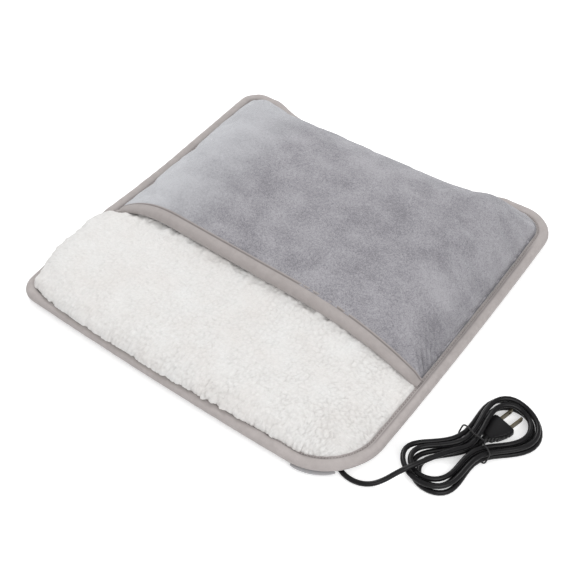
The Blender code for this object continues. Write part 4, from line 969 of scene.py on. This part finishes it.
def tie_line():
    """The tie's wire: a tail, one twisted end, the loop round the waist and the other end."""
    half_height = (TIE_TOP - TIE_FLOOR) / 2
    knot = math.pi - math.acos(((TIE_ASIDE + 0.0045) / TIE_HALF_WIDTH) ** (1 / TIE_SQUARENESS))
    opening = 2 * TIE_TWIST_RADIUS / TIE_HALF_WIDTH
    angles = knot + opening + (2 * math.pi - 2 * opening) * np.arange(73) / 72
    loop = [Vector((mix(TIE_NEAR, TIE_FAR, (up + 1) / 2), TIE_ASIDE + TIE_HALF_WIDTH * across,
                    TIE_FLOOR + half_height * (1 + up)))
            for across, up in zip(*pressed_circle(angles, TIE_SQUARENESS))]
    start, end = Vector(TIE_TWIST_START), Vector(TIE_TWIST_END)
    ahead = (end - start).normalized()
    side = ahead.cross(Vector((0, 0, 1))).normalized()
    up = side.cross(ahead)
    ends = []
    for phase in (math.pi / 2, -math.pi / 2):
        turns = [phase + 3.5 * math.pi * step / 28 for step in range(29)]
        ends.append([start.lerp(end, step / 28)
                     + (side * math.cos(turn) + up * math.sin(turn)) * TIE_TWIST_RADIUS
                     for step, turn in enumerate(turns)])
    tail = ends[0][-1] + Vector((0.0075, -0.0010, -0.0004))
    return [hank_frame() @ point for point in [tail] + ends[0][::-1] + loop + ends[1]]


class TIE_OT_twist(bpy.types.Operator):
    """Twists the coated wire tie round the hank's waist"""
    bl_idname = "foot_warmer.tie"
    bl_label = "Twist tie"

    def execute(self, context):
        coating = moulded_finish("tie_coating", context.scene.warmer_colours.cord, 0.55, 0.0004)
        route = smooth_route(tie_line(), 0.0006)
        tie = loft("wire_tie", route, TIE_THICKNESS, TIE_THICKNESS, sides=10)
        finish_as(tie, coating, replaces=("twist_tie",))
        return {"FINISHED"}


# ---------------------------------------------------------------- the base

def pile(px, py, sizes):
    """The sherpa's curls: their height at each place, and how much painted shade falls between them
    there.
    """
    warp_x = px + 0.0022 * swells(px, py, 0.011, 3) + 0.0008 * swells(px, py, 0.004, 5)
    warp_y = py + 0.0022 * swells(px, py, 0.011, 4) + 0.0008 * swells(px, py, 0.004, 6)
    near, second, own = tufts(warp_x, warp_y, sizes.tuft_width, 11)
    dome = clip01(1 - (near / 1.05) ** 2)
    clear = clarity(px, py)
    parted = smooth(0.62 + 0.55 * swells(px, py, 0.017, 12) + 0.45 * swells(px, py, 0.007, 13))
    crease = bell(second - near, 0.20) * (0.3 + 0.7 * parted) * mix(0.25, 1, clear)
    small_near, small_second, _ = tufts(warp_x, warp_y, sizes.tuft_width * 0.45, 21)
    knob = smooth((small_second - small_near) / 0.8)
    height = (0.40 * dome * mix(0.6, 1.1, own) * mix(0.5, 1, clear) + 0.12 * knob + 0.28
              - 0.30 * crease + 0.10 * swells(px, py, 0.0034, 9) + 0.16 * swells(px, py, 0.014, 8))
    return sizes.pile_height * height, clip01(crease * 0.42 + 0.20 * (1 - knob))


def clarity(px, py):
    """How clearly the curls part: less at the left, more towards the front right."""
    return clip01(0.42 + (px - 1.2 * (py + 0.13)) / 0.55)


def rolled_edge(x, y, inset):
    """How the sherpa's edge bulges over the tape: most at the left, hardly at the right."""
    from_side, from_end = HALF_WIDTH - np.abs(x), HALF_DEPTH - np.abs(y)
    front = smooth((from_side - from_end) / 0.050 + 0.5) * (y < 0)
    at_front = mix(0.0100, 0.0020, smooth((x + 0.02) / 0.17))
    at_left = 0.0145 * (x < 0) * smooth((MOUTH_Y + 0.006 - y) / 0.032)
    corner = bell(from_side - from_end, 0.03) * smooth((0.05 - inset) / 0.02)
    reach = mix(at_left, at_front, front) * (1 - 0.45 * corner)
    reach = (reach * (1 + 0.10 * swells(x, y, 0.022, 33))
             + 0.0011 * swells(x, y, 0.0052, 36) * (y < MOUTH_Y))
    out = reach * smooth((inset - 0.0128) / 0.0034) * (1 - smooth((inset - 0.0165) / 0.040))
    steep = smooth((reach - 0.001) / 0.007) * (out > 0)
    return out * (1 - front) * np.sign(x), -out * front, steep


def fleece_surface(sizes, crevice_shades):
    """The sherpa's upper face; the painted shade between its curls goes into the list."""
    def surface(x, y):
        px, py = plan(x, y)
        inset = edge_inset(x, y)
        out_x, out_y, steep = rolled_edge(x, y, inset)
        top = base_top(x, y) + 0.0010 * swells(px, py, 0.045, 31) * base_puff(x, y)
        quick_rise = 1 - (1 - clip01((inset - FLEECE_EDGE) / 0.036)) ** FLANK_STEEPNESS
        steep_top = SEAM_TOP + (BASE_SHOULDER - SEAM_TOP) * quick_rise
        pz = np.maximum(top, mix(top, steep_top, steep))
        rim = smooth((inset - FLEECE_EDGE) / 0.003)
        pz = mix(np.minimum(pz, SEAM_TOP - 0.0001), pz, rim)
        px, py = px + out_x, py + out_y
        height, crevice_shade = pile(px, py, sizes)
        crevice_shades.append(crevice_shade * rim)
        bulge = 0.0012 * smooth((0.030 - inset) / 0.014)
        covered = smooth((y - MOUTH_Y - 0.003) / 0.005) * smooth((0.040 - inset) / 0.010)
        lift = mix(height - 0.0012 + bulge, -0.0006, covered) * rim
        ends = smooth((HALF_WIDTH - np.abs(x) - 0.010) / 0.022)
        lip = 0.0066 * cover_puff(x, y) * (1 + 0.30 * swells(px, py, 0.0055, 35))
        return raised(px, py, pz, lift, lip * bell(y - MOUTH_Y + 0.0005, 0.014) * ends)
    return surface


def flat_surface(height):
    """A surface of this height function over the sewn outline."""
    def surface(x, y):
        return (*plan(x, y), height(x, y) + 0 * x)
    return surface


def even_marks(inset, step):
    return (marks((inset - HALF_WIDTH, HALF_WIDTH - inset, step)),
            marks((inset - HALF_DEPTH, HALF_DEPTH - inset, step)))


class BASE_OT_quilt(bpy.types.Operator):
    """Quilts the base: underside, waddings, heater felts and the sherpa top"""
    bl_idname = "foot_warmer.base"
    bl_label = "Base"

    def execute(self, context):
        sizes, colours = context.scene.warmer_sizes, context.scene.warmer_colours
        step = 0.00125
        columns = marks((LAYER_EDGE - HALF_WIDTH, HALF_WIDTH - LAYER_EDGE, step))
        rows = marks((LAYER_EDGE - HALF_DEPTH, -0.052, step), (-0.052, HALF_DEPTH - LAYER_EDGE, 0.0036))
        crevice_shades = []
        top = quilt("sherpa_top", (columns, rows, fleece_surface(sizes, crevice_shades)),
                    (*even_marks(LAYER_EDGE, 0.006), flat_surface(fleece_low)))
        hidden = np.zeros(len(top.data.vertices) - crevice_shades[0].size)
        # Painted shade between the sherpa's curls, for its colour to read.
        paint(top, "crevice_shade", np.concatenate((crevice_shades[0].ravel(), hidden)))
        finish_as(top, fleece_finish(colours), replaces=("sherpa_base",))
        self.layers()
        self.sole(sizes, colours)
        return {"FINISHED"}

    def layers(self):
        """The waddings and the heater's felts, which don't show."""
        wadding = plain_cloth_finish("polyester_wadding", linear((240, 240, 238)),
                                     linear((214, 213, 208)), 0.0022)
        felt = plain_cloth_finish("heater_felt", linear((226, 222, 212)), linear((200, 195, 184)), 0.0016)
        grid = even_marks(LAYER_EDGE, 0.006)
        for name, node, high, low in (
                ("lower_wadding", "base_wadding",
                 lower_wadding_high, lambda x, y: panel_low(x, y) + 0.0015),
                ("upper_wadding", "top_wadding",
                 lambda x, y: fleece_low(x, y) - 0.0003, upper_wadding_low)):
            piece = layer(name, grid, high, low)
            finish_as(piece, wadding, replaces=(node,))
        for name, node in (("lower_felt", "heater_felt_lower"), ("upper_felt", "heater_felt_upper")):
            low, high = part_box(node)
            grid = (np.linspace(-1, 1, 45), np.linspace(-1, 1, 45))
            piece = quilt(name, (*grid, self.felt_face(low, high, high.z)),
                          (*grid, self.felt_face(low, high, low.z)))
            finish_as(piece, felt, replaces=(node,))

    def felt_face(self, low, high, level):
        """One face of a felt: a rectangle whose corners are round."""
        def surface(u, v):
            reach = np.maximum(np.abs(u), np.abs(v))
            angle = np.arctan2(v, u)
            squarish = (np.abs(np.cos(angle)) ** 8 + np.abs(np.sin(angle)) ** 8) ** (-1 / 8)
            x = (low.x + high.x) / 2 + (high.x - low.x) / 2 * reach * squarish * np.cos(angle)
            y = (low.y + high.y) / 2 + (high.y - low.y) / 2 * reach * squarish * np.sin(angle)
            return x, y, level + 0 * x
        return surface

    def sole(self, sizes, colours):
        """The underside's cloth, and the grip dots on it."""
        cloth = plain_cloth_finish("underside_cloth", colours.sole,
                                   tuple(part * 0.72 for part in colours.sole), 0.0010)
        sole = layer("underside", even_marks(LAYER_EDGE, 0.0045), lambda x, y: panel_low(x, y) + 0.0012,
                     lambda x, y: panel_low(x, y) + 0.0005)
        route = [Vector(point) for point in LEAD_ROUTE if point[0] < 0.189]
        cut_away(sole, loft("lead_slot", smooth_route(route, 0.003), 0.0056, 0.0056, sides=12))
        soften(sole, 50)
        finish_as(sole, cloth, replaces=("bottom_panel",))
        self.lip(colours)
        self.dots(sizes)

    def dots(self, sizes):
        """Grip dots in offset columns, clear of the sewn edge and of the cord's exit."""
        spots = []
        count = int(0.168 / sizes.grip_pitch)
        for column in range(-count, count + 1):
            for row in range(-count, count + 1):
                x = column * sizes.grip_pitch
                y = (row + (0.5 if column % 2 else 0)) * sizes.grip_pitch
                at_exit = math.hypot(x - 0.165, y + 0.172) <= 0.03
                if edge_inset(np.array(x), np.array(y)) > 0.036 and not at_exit:
                    spots.append(Matrix.Translation((x, y, 0.0005))
                                 @ Matrix.Diagonal((0.0019, 0.0019, 0.0005, 1)))
        dots = copies("grip_dots", ball(10, 1), spots)
        finish_as(dots, moulded_finish("grip_rubber", linear((188, 187, 188)), 0.6, 0.0005))

    def lip(self, colours):
        """The underside cloth's edge, which shows below the tape at the front right."""
        line, _ = edge_line()
        shown = line[(line[:, 1] < -0.180) & (line[:, 0] > 0.136) & (line[:, 0] < 0.177)]
        shown = shown[np.argsort(shown[:, 0])]
        along = np.linspace(0, 1, len(shown))
        ends = np.sqrt(clip01(1 - (2 * along - 1) ** 4))
        outward = -0.0013 + 0.0005 * ripple(along * 0.08, 0.018, 81)
        aside = np.gradient(shown, axis=0)
        aside /= np.linalg.norm(aside, axis=1)[:, None]
        path = np.column_stack((shown + np.stack((aside[:, 1], -aside[:, 0]), -1) * outward[:, None],
                                np.full(len(shown), 0.0048)))
        strip = loft("sole_edge", path, 0.0058 * np.maximum(ends, 0.3), 0.0011, corner=0.7, sides=10,
                     up=(0, 0, 1))
        # The edge's cloth is the underside cloth painted lighter: painted light on the edge that shows.
        cloth = plain_cloth_finish("underside_edge", tuple(min(part * 1.6, 1) for part in colours.sole),
                                   tuple(part * 1.2 for part in colours.sole), 0.0010)
        finish_as(strip, cloth)


# ---------------------------------------------------------------- the cover

def let_out(columns, rows, high, low, frames, growth, pressure, cap):
    """Puffs a skin with cloth simulation, and gives how far each of its places moves."""
    form = quilt("puff_trial", (columns, rows, high), (columns, rows, low))
    start = places(form)
    count = len(columns) * len(rows)
    held = form.vertex_groups.new(name="sewn")
    index = np.arange(count).reshape(len(rows), len(columns))
    free = set(index[2:-1, 1:-1].ravel().tolist())
    held.add([number for number in range(len(start)) if number not in free], 1.0, "REPLACE")
    bpy.ops.object.modifier_add(type="CLOTH")
    cloth = form.modifiers[-1]
    settings = cloth.settings
    settings.quality = 6
    settings.mass = 0.25
    settings.tension_stiffness = settings.compression_stiffness = 20
    settings.shear_stiffness = 8
    settings.bending_stiffness = 0.8
    settings.tension_damping = settings.compression_damping = 10
    settings.shrink_min = -growth
    settings.vertex_group_mass = "sewn"
    settings.use_pressure = True
    settings.uniform_pressure_force = pressure
    settings.effector_weights.gravity = 0
    cloth.collision_settings.use_collision = False
    cloth.point_cache.frame_start, cloth.point_cache.frame_end = 1, frames
    for number in range(1, frames + 1):
        bpy.context.scene.frame_set(number)
    bpy.ops.object.modifier_apply(modifier=cloth.name)
    moved = (places(form) - start)[:count]
    bpy.data.objects.remove(form, do_unlink=True)
    bpy.context.scene.frame_set(1)
    far = np.linalg.norm(moved, axis=1)[:, None]
    moved *= np.minimum(1, cap / np.maximum(far, 1e-9))
    return moved.reshape(len(rows), len(columns), 3)


def resampled(field, columns, rows, x, y):
    """A field on a coarse grid, read smoothly at other places."""
    def reach(grid, value):
        place = np.interp(value, grid, np.arange(len(grid)))
        first = np.clip(np.floor(place), 0, len(grid) - 2).astype(int)
        t = place - first
        weights = (-0.5 * t + t ** 2 - 0.5 * t ** 3, 1 - 2.5 * t ** 2 + 1.5 * t ** 3,
                   0.5 * t + 2 * t ** 2 - 1.5 * t ** 3, -0.5 * t ** 2 + 0.5 * t ** 3)
        return [(np.clip(first + step - 1, 0, len(grid) - 1), weight)
                for step, weight in enumerate(weights)]
    total = np.zeros(x.shape + (field.shape[-1],))
    across, down = reach(columns, x), reach(rows, y)
    for column, weight_x in across:
        for row, weight_y in down:
            total += field[row, column] * (weight_x * weight_y)[..., None]
    return total


def mouth_round(y, high, low):
    """The middle between the cover's two faces, and how far open its round front edge is there."""
    share = clip01((y - MOUTH_Y) / MOUTH_RADIUS)
    return (high + low) / 2, np.sqrt(1 - (1 - share) ** 2)


def flannel_high(x, y):
    """The cover's upper face, from the tape's inner edge, round at the mouth."""
    inset = np.minimum(HALF_WIDTH - np.abs(x), HALF_DEPTH - y)
    share = 1 - (1 - clip01((inset - 0.0130) / 0.008)) ** 2
    high = mix(0.0137, cover_high(x, y), share)
    middle, roundness = mouth_round(y, high, np.minimum(cover_low(x, y), high))
    return mix(middle, high, roundness)


def gathers(px, py, x, y):
    """Small puckers that run in from the sewn sides and fan from the mouth's right end."""
    side, rear = HALF_WIDTH - np.abs(x), HALF_DEPTH - y
    inset = np.minimum(side, rear) - 0.013
    fade = np.exp(-clip01(inset / 0.5) * 0.5 / 0.011)
    along = np.where(side < rear, py, px)
    wave = ripple(along, 0.0075, 61) + 0.6 * ripple(along, 0.0042, 62)
    strength = 0.5 + 0.5 * ripple(along, 0.05, 63)
    folds = 0.0011 * wave * fade * strength * smooth(inset / 0.004)
    waves, window = puckers(px, py)
    return folds + 0.0015 * waves * window * smooth((side - 0.0135) / 0.003)


def puckers(px, py):
    """The folds that run up from the mouth's right end: their wave, and where they are."""
    from_x, from_y = 0.196 - px, py + 0.058
    along = from_x * 0.574 + from_y * 0.819
    across = from_x * 0.819 - from_y * 0.574 - 0.05 * along
    waves = np.cos(across / (0.0040 + 0.030 * np.maximum(along, 0)) * 2 * math.pi
                   + 1.6 * swells(px, py, 0.014, 64))
    window = smooth((along - 0.002) / 0.010) * smooth((0.070 - along) / 0.045)
    window = window * (0.75 + 0.35 * swells(px, py, 0.009, 65))
    return waves, window * smooth((across + 0.016) / 0.008) * smooth((0.016 - across) / 0.008)


class COVER_OT_sew(bpy.types.Operator):
    """Sews the pocket's puffed flannel cover and its sherpa lining, each in two halves"""
    bl_idname = "foot_warmer.cover"
    bl_label = "Cover"

    def execute(self, context):
        sizes, colours = context.scene.warmer_sizes, context.scene.warmer_colours
        flannel = flannel_finish(colours)
        lining = fleece_finish(colours)
        puff = None
        trial = (marks((COVER_EDGE - HALF_WIDTH, HALF_WIDTH - COVER_EDGE, 0.0055)),
                 marks((MOUTH_Y, HALF_DEPTH - COVER_EDGE, 0.0055)))
        puff = let_out(*trial, flat_surface(flannel_high), flat_surface(self.low),
                       sizes.puff_frames, growth=0.008, pressure=2.0, cap=0.0022)

        def top(x, y):
            px, py = plan(x, y)
            pz = flannel_high(x, y)
            if puff is not None:
                moved = resampled(puff, *trial, x, y)
                px, py, pz = px + moved[..., 0], py + moved[..., 1], pz + moved[..., 2]
            pz = pz + 0.0012 * swells(px, py, 0.070, 41) * cover_puff(x, y)
            return raised(px, py, pz, gathers(px, py, x, y))

        fine = 0.0020
        rows = marks((MOUTH_Y, MOUTH_Y + 0.006, 0.0006), (MOUTH_Y + 0.006, 0.0, fine * 0.55),
                     (0, 0.175, fine), (0.175, HALF_DEPTH - COVER_EDGE, 0.0012))
        half = marks((COVER_EDGE - HALF_WIDTH, -0.135, fine * 0.55), (-0.135, 0, fine))
        for name, columns, side in (("left", half, -1), ("right", -half[::-1], 1)):
            coarse = (marks((columns[0], columns[-1], 0.006)),
                      marks((MOUTH_Y, HALF_DEPTH - COVER_EDGE, 0.006)))
            piece = quilt("flannel_" + name, (columns, rows, top), (*coarse, flat_surface(self.low)))
            inset = np.minimum(HALF_WIDTH - np.abs(columns[None]), (HALF_DEPTH - rows)[:, None])
            # Painted shade: dark at the seam along the tape, and in the valleys of the puckers by the
            # mouth's right end.
            seam_and_fold_shade = np.zeros(len(piece.data.vertices))
            waves, window = puckers(*plan(*np.meshgrid(columns, rows)))
            seam = 1 - smooth((inset - 0.0134) / 0.0034)
            seam_and_fold_shade[:inset.size] = np.maximum(seam, 0.42 * window * smooth(0.2 - waves)).ravel()
            paint(piece, "seam_and_fold_shade", seam_and_fold_shade)
            finish_as(piece, flannel, None,
                      ("flannel_cover", "cover_wadding") if side < 0 else ())
            lift_middle(piece)
            self.line(name, side, columns, sizes, lining)
        return {"FINISHED"}

    def low(self, x, y):
        """Underside of the cover's filling, on the lining."""
        inner = mix(cover_low(x, y), lining_high(x, y), smooth((y - MOUTH_Y - 0.001) / 0.006))
        middle, roundness = mouth_round(y, cover_high(x, y), cover_low(x, y))
        return np.minimum(mix(middle, inner, roundness), flannel_high(x, y) - 0.0001)

    def line(self, name, side, columns, sizes, material):
        """The lining of one half, with its pile downwards."""
        crevice_shades = []

        def under(x, y):
            px, py = plan(x, y)
            height, crevice_shade = pile(px + 0.013, py - 0.021, sizes)
            away = (smooth((HALF_WIDTH - np.abs(x) - LINING_EDGE) / 0.006)
                    * smooth((y - MOUTH_Y - 0.004) / 0.004))
            away = away * smooth((HALF_DEPTH - y - LINING_EDGE) / 0.006)
            crevice_shades.append(crevice_shade)
            return px, py, cover_low(x, y) + 0.0003 - (height - 0.0010) * away

        edge = columns[np.abs(columns) < HALF_WIDTH - LINING_EDGE]
        grid, ceiling = ((marks((edge[0], edge[-1], step)),
                          marks((MOUTH_Y + 0.0022, HALF_DEPTH - LINING_EDGE, step)))
                         for step in (0.0028, 0.008))
        top = flat_surface(lambda x, y: lining_high(x, y) - 0.0002)
        piece = quilt("lining_" + name, (*ceiling, top), (*grid, under))
        hidden = np.zeros(len(ceiling[0]) * len(ceiling[1]))
        # Painted shade between the lining's curls, for its colour to read.
        paint(piece, "crevice_shade", np.concatenate((hidden, crevice_shades[0].ravel())))
        finish_as(piece, material, None, ("pocket_lining",) if side < 0 else ())
        lift_middle(piece)


# ---------------------------------------------------------------- the tapes

def along_loop(values, travelled, spots):
    """What the points of a closed loop hold, read at these distances along it."""
    closed = np.concatenate((values, values[:1]))
    return np.stack([np.interp(spots, travelled, closed[:, axis]) for axis in (0, 1)], axis=-1)


def edge_line():
    """The pad's outermost line, evenly stepped from the front's middle, and its length."""
    turn = np.linspace(0, 2 * math.pi, 6001)[:-1] - math.pi / 2
    reach = np.minimum(HALF_WIDTH / np.maximum(np.abs(np.cos(turn)), 1e-9),
                       HALF_DEPTH / np.maximum(np.abs(np.sin(turn)), 1e-9))
    loop = np.stack(plan(reach * np.cos(turn), reach * np.sin(turn)), axis=-1)
    travelled = lengths(np.concatenate((loop, loop[:1])))
    even = np.linspace(0, travelled[-1], EDGE_POINTS + 1)[:-1]
    return along_loop(loop, travelled, even), travelled[-1]


def stitch_run(name, points):
    """Short thread stitches between the points of a level seam line, two points to a stitch."""
    spots = []
    for start, end in zip(points[::2], points[1::2]):
        start, end = Vector(start), Vector(end)
        along = (end - start).normalized()
        side = Vector((0, 0, 1)).cross(along).normalized()
        matrix = Matrix.Identity(4)
        matrix.col[0].xyz = side * 0.0008
        matrix.col[1].xyz = along.cross(side) * 0.0005
        matrix.col[2].xyz = (end - start) * 1.05
        matrix.col[3].xyz = (start + end) / 2
        spots.append(matrix)
    return copies(name, ball(6, 0.5), spots)


class TAPE_OT_bind(bpy.types.Operator):
    """Folds the taupe tape round the pad's edge and round the pocket's mouth, and stitches it"""
    bl_idname = "foot_warmer.tapes"
    bl_label = "Tapes"

    def execute(self, context):
        sizes, colours = context.scene.warmer_sizes, context.scene.warmer_colours
        tape, thread = tape_finish(colours, "edge_tape", 0.0), thread_finish(colours)
        # The mouth tape is the same tape with painted shade, its light colour turned 0.4 of the way to
        # its shade colour.
        mouth_tape = tape_finish(colours, "mouth_tape", 0.4)
        self.bind_edge(sizes, tape, thread)
        for name, side in (("left", -1), ("right", 1)):
            self.bind_mouth(name, side, mouth_tape)
        return {"FINISHED"}

    def bind_edge(self, sizes, tape, thread):
        line, length = edge_line()
        ahead = np.roll(line, -1, axis=0) - np.roll(line, 1, axis=0)
        ahead /= np.linalg.norm(ahead, axis=1)[:, None]
        inward = np.stack((-ahead[:, 1], ahead[:, 0]), axis=-1)
        ring = np.arange(len(line)) * length / len(line) / length * 2 * math.pi
        ring_x, ring_y = np.cos(ring), np.sin(ring)
        leg = np.array([(TAPE_WIDTH, 0.0036), (0.0124, 0.0034), (0.0118, 0.0031), (STITCH_INSET, 0.0030),
                        (0.0106, 0.0032), (0.0098, 0.0037), (0.0086, 0.0040), (0.0066, 0.0041),
                        (0.0048, 0.0041)])
        turn = np.linspace(math.pi / 2, math.pi, 8)[1:]
        fold = np.stack((0.0040 + FOLD_RADIUS * np.cos(turn), FOLD_RADIUS * np.sin(turn)), axis=-1)
        upper = np.concatenate((leg, fold))
        curve = np.concatenate((upper, (upper * (1, -1))[-2::-1]))
        curves = np.repeat(curve[None], len(line), axis=0)
        share = clip01((curves[..., 0] - 0.004) / 0.009)
        curves[..., 0] += 0.0005 * swells(40 * ring_x, 40 * ring_y, 1.6, 71)[:, None] * share
        curves[..., 1] += 0.0003 * swells(60 * ring_x, 60 * ring_y, 1.5, 72)[:, None]
        rings = hem(curves, TAPE_CLOTH)
        skin = np.empty(rings.shape[:2] + (3,))
        skin[..., :2] = line[:, None] + inward[:, None] * rings[..., :1]
        skin[..., 2] = SEAM_HEIGHT + rings[..., 1]
        piece = swept("edge_tape", skin, loop=True, around=lengths(rings[0])[-1], along=length)
        # Painted shade: darker along the stitch line, and at the right where the flannel laps over the
        # tape.
        groove_shade = bell(rings[..., 0] - STITCH_INSET, 0.0009) * (np.abs(rings[..., 1]) < 0.0036)
        at_right = smooth((line[:, 0] - 0.15) / 0.03) * smooth((0.17 - np.abs(line[:, 1])) / 0.03)
        lapped_shade = bell(rings[..., 0] - 0.0086, 0.0005) * (rings[..., 1] > 0)
        self.darken(piece, skin, np.maximum(groove_shade, 0.8 * lapped_shade * at_right[:, None]))
        finish_as(piece, tape, replaces=("edge_binding",))
        count = 2 * int(length / sizes.stitch_pitch)
        spots = (np.arange(count) // 2 + np.where(np.arange(count) % 2, 0.72, 0)) * length / (count / 2)
        travelled = lengths(np.concatenate((line, line[:1])))
        seam = along_loop(line, travelled, spots) + along_loop(inward, travelled, spots) * STITCH_INSET
        stitches = stitch_run("edge_stitches",
                              np.column_stack((seam, np.full(count, SEAM_HEIGHT + 0.00335))))
        finish_as(stitches, thread)

    def darken(self, piece, spots, values):
        """Gives each point of a welded mesh the painted shade value of the nearest ring point."""
        keys = {tuple(np.round(spot, 5)): value
                for spot, value in zip(spots.reshape(-1, 3), values.ravel())}
        paint(piece, "groove_shade", [keys.get(tuple(np.round(spot, 5)), 0.0) for spot in places(piece)])

    def bind_mouth(self, name, side, tape):
        columns = side * marks((0, 0.172, 0.003), (0.172, HALF_WIDTH - 0.0115, 0.0012))
        back = np.array([0, 0.0006, 0.0012, 0.0018, 0.0024, 0.0032, 0.0042, 0.0054])
        bend = 1 - np.sin(np.linspace(0.12, 1, 9) * math.pi / 2)
        spots = np.concatenate((MOUTH_Y + MOUTH_TAPE_WIDTH - back, MOUTH_Y + MOUTH_RADIUS * bend))
        x, y = np.meshgrid(columns, spots, indexing="ij")
        leg = MOUTH_Y + MOUTH_RADIUS
        y = np.where(y > leg, leg + (y - leg) * mix(0.45, 1, smooth((x + HALF_WIDTH) / 0.10)), y)
        low = np.minimum(cover_low(x, y), cover_high(x, y))
        middle, roundness = mouth_round(y, cover_high(x, y), low)
        upper = np.stack((y, flannel_high(x, y)), -1)
        under = np.stack((y, mix(middle, low, roundness)), -1)
        section = np.concatenate((upper, under[:, -2::-1]), axis=1)
        outer = hem(section, -0.0014)[:, section.shape[1]:][:, ::-1]
        outer[..., 1] -= 0.0005 * bell(np.arange(section.shape[1]) - 3.0, 1.1)[None]
        rings = hem(outer, TAPE_CLOTH)
        px, py = plan(np.repeat(columns[:, None], rings.shape[1], axis=1), rings[..., 0])
        skin = np.stack((px, py, rings[..., 1]), axis=-1)
        piece = swept("mouth_tape_" + name, skin, around=lengths(rings[0])[-1], along=abs(columns[-1]))
        # Painted shade in a line just in from the mouth tape's back edge.
        groove_shade = np.zeros(rings.shape[:2])
        groove_shade[:, 2:5] = (0.6, 1.0, 0.6)
        self.darken(piece, skin, groove_shade)
        finish_as(piece, tape, None, ("mouth_binding",) if side < 0 else ())
        lift_middle(piece)


# ---------------------------------------------------------------- what is inside

class FITTINGS_OT_finish(bpy.types.Operator):
    """Gives the terminals, cores, safety devices, heating wire and blades their finishes"""
    bl_idname = "foot_warmer.fittings"
    bl_label = "Fittings"

    def execute(self, context):
        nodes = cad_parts
        dressed = [(metal_finish(*metal), names) for metal, names in (
            (("plated_steel", (0.62, 0.62, 0.60), 0.32),
             ("clamp_screw_left", "clamp_screw_right", "thermostat")),
            (("tinned_copper", (0.72, 0.69, 0.65), 0.38, (1.0, 1.0, 4.0)),
             ("crimp_splice_live", "crimp_splice_neutral", "thermal_fuse")),
            (("blade_brass", linear((112, 104, 86)), 0.46, (1.0, 1.0, 6.0)),
             ("plug_blade_left", "plug_blade_right")))]
        dressed += [(moulded_finish(name, linear(colour), roughness), names)
                    for name, colour, roughness, names in (
            ("clamp_plastic", (224, 222, 212), 0.5, ("cord_clamp_lower", "cord_clamp_upper")),
            ("core_live", (122, 74, 44), 0.45, ("cord_core_live",)),
            ("core_neutral", (52, 98, 170), 0.45, ("cord_core_neutral",)),
            ("shrink_sleeve", (228, 220, 198), 0.6, ("thermostat_sleeve", "fuse_sleeve")),
            ("heating_wire", (196, 84, 62), 0.5, ("heating_wire",)))]
        for material, names in dressed:
            for name in names:
                finish_as(nodes[name], material, body=None)
        return {"FINISHED"}


class WARMER_PT_panel(bpy.types.Panel):
    """Shows the foot warmer's building steps, and its sizes and colours"""
    bl_label = "Foot Warmer"
    bl_idname = "WARMER_PT_panel"
    bl_space_type = "VIEW_3D"
    bl_region_type = "UI"
    bl_category = "Foot Warmer"

    def draw(self, context):
        for name in STEPS:
            self.layout.operator("foot_warmer." + name)
        for group in (context.scene.warmer_sizes, context.scene.warmer_colours):
            for name in group.__annotations__:
                self.layout.prop(group, name)


STEPS = ("stage", "cord", "tie", "base", "cover", "tapes", "fittings")
CLASSES = (WarmerSizes, WarmerColours, STAGE_OT_lay, CORD_OT_lay, TIE_OT_twist, BASE_OT_quilt,
           COVER_OT_sew, TAPE_OT_bind, FITTINGS_OT_finish, WARMER_PT_panel)


def register():
    for part in CLASSES:
        bpy.utils.register_class(part)
    bpy.types.Scene.warmer_sizes = PointerProperty(type=WarmerSizes)
    bpy.types.Scene.warmer_colours = PointerProperty(type=WarmerColours)


def unregister():
    del bpy.types.Scene.warmer_colours
    del bpy.types.Scene.warmer_sizes
    for part in reversed(CLASSES):
        bpy.utils.unregister_class(part)


def main():
    register()
    for name in STEPS:
        getattr(bpy.ops.foot_warmer, name)()


if __name__ == "__main__":
    main()
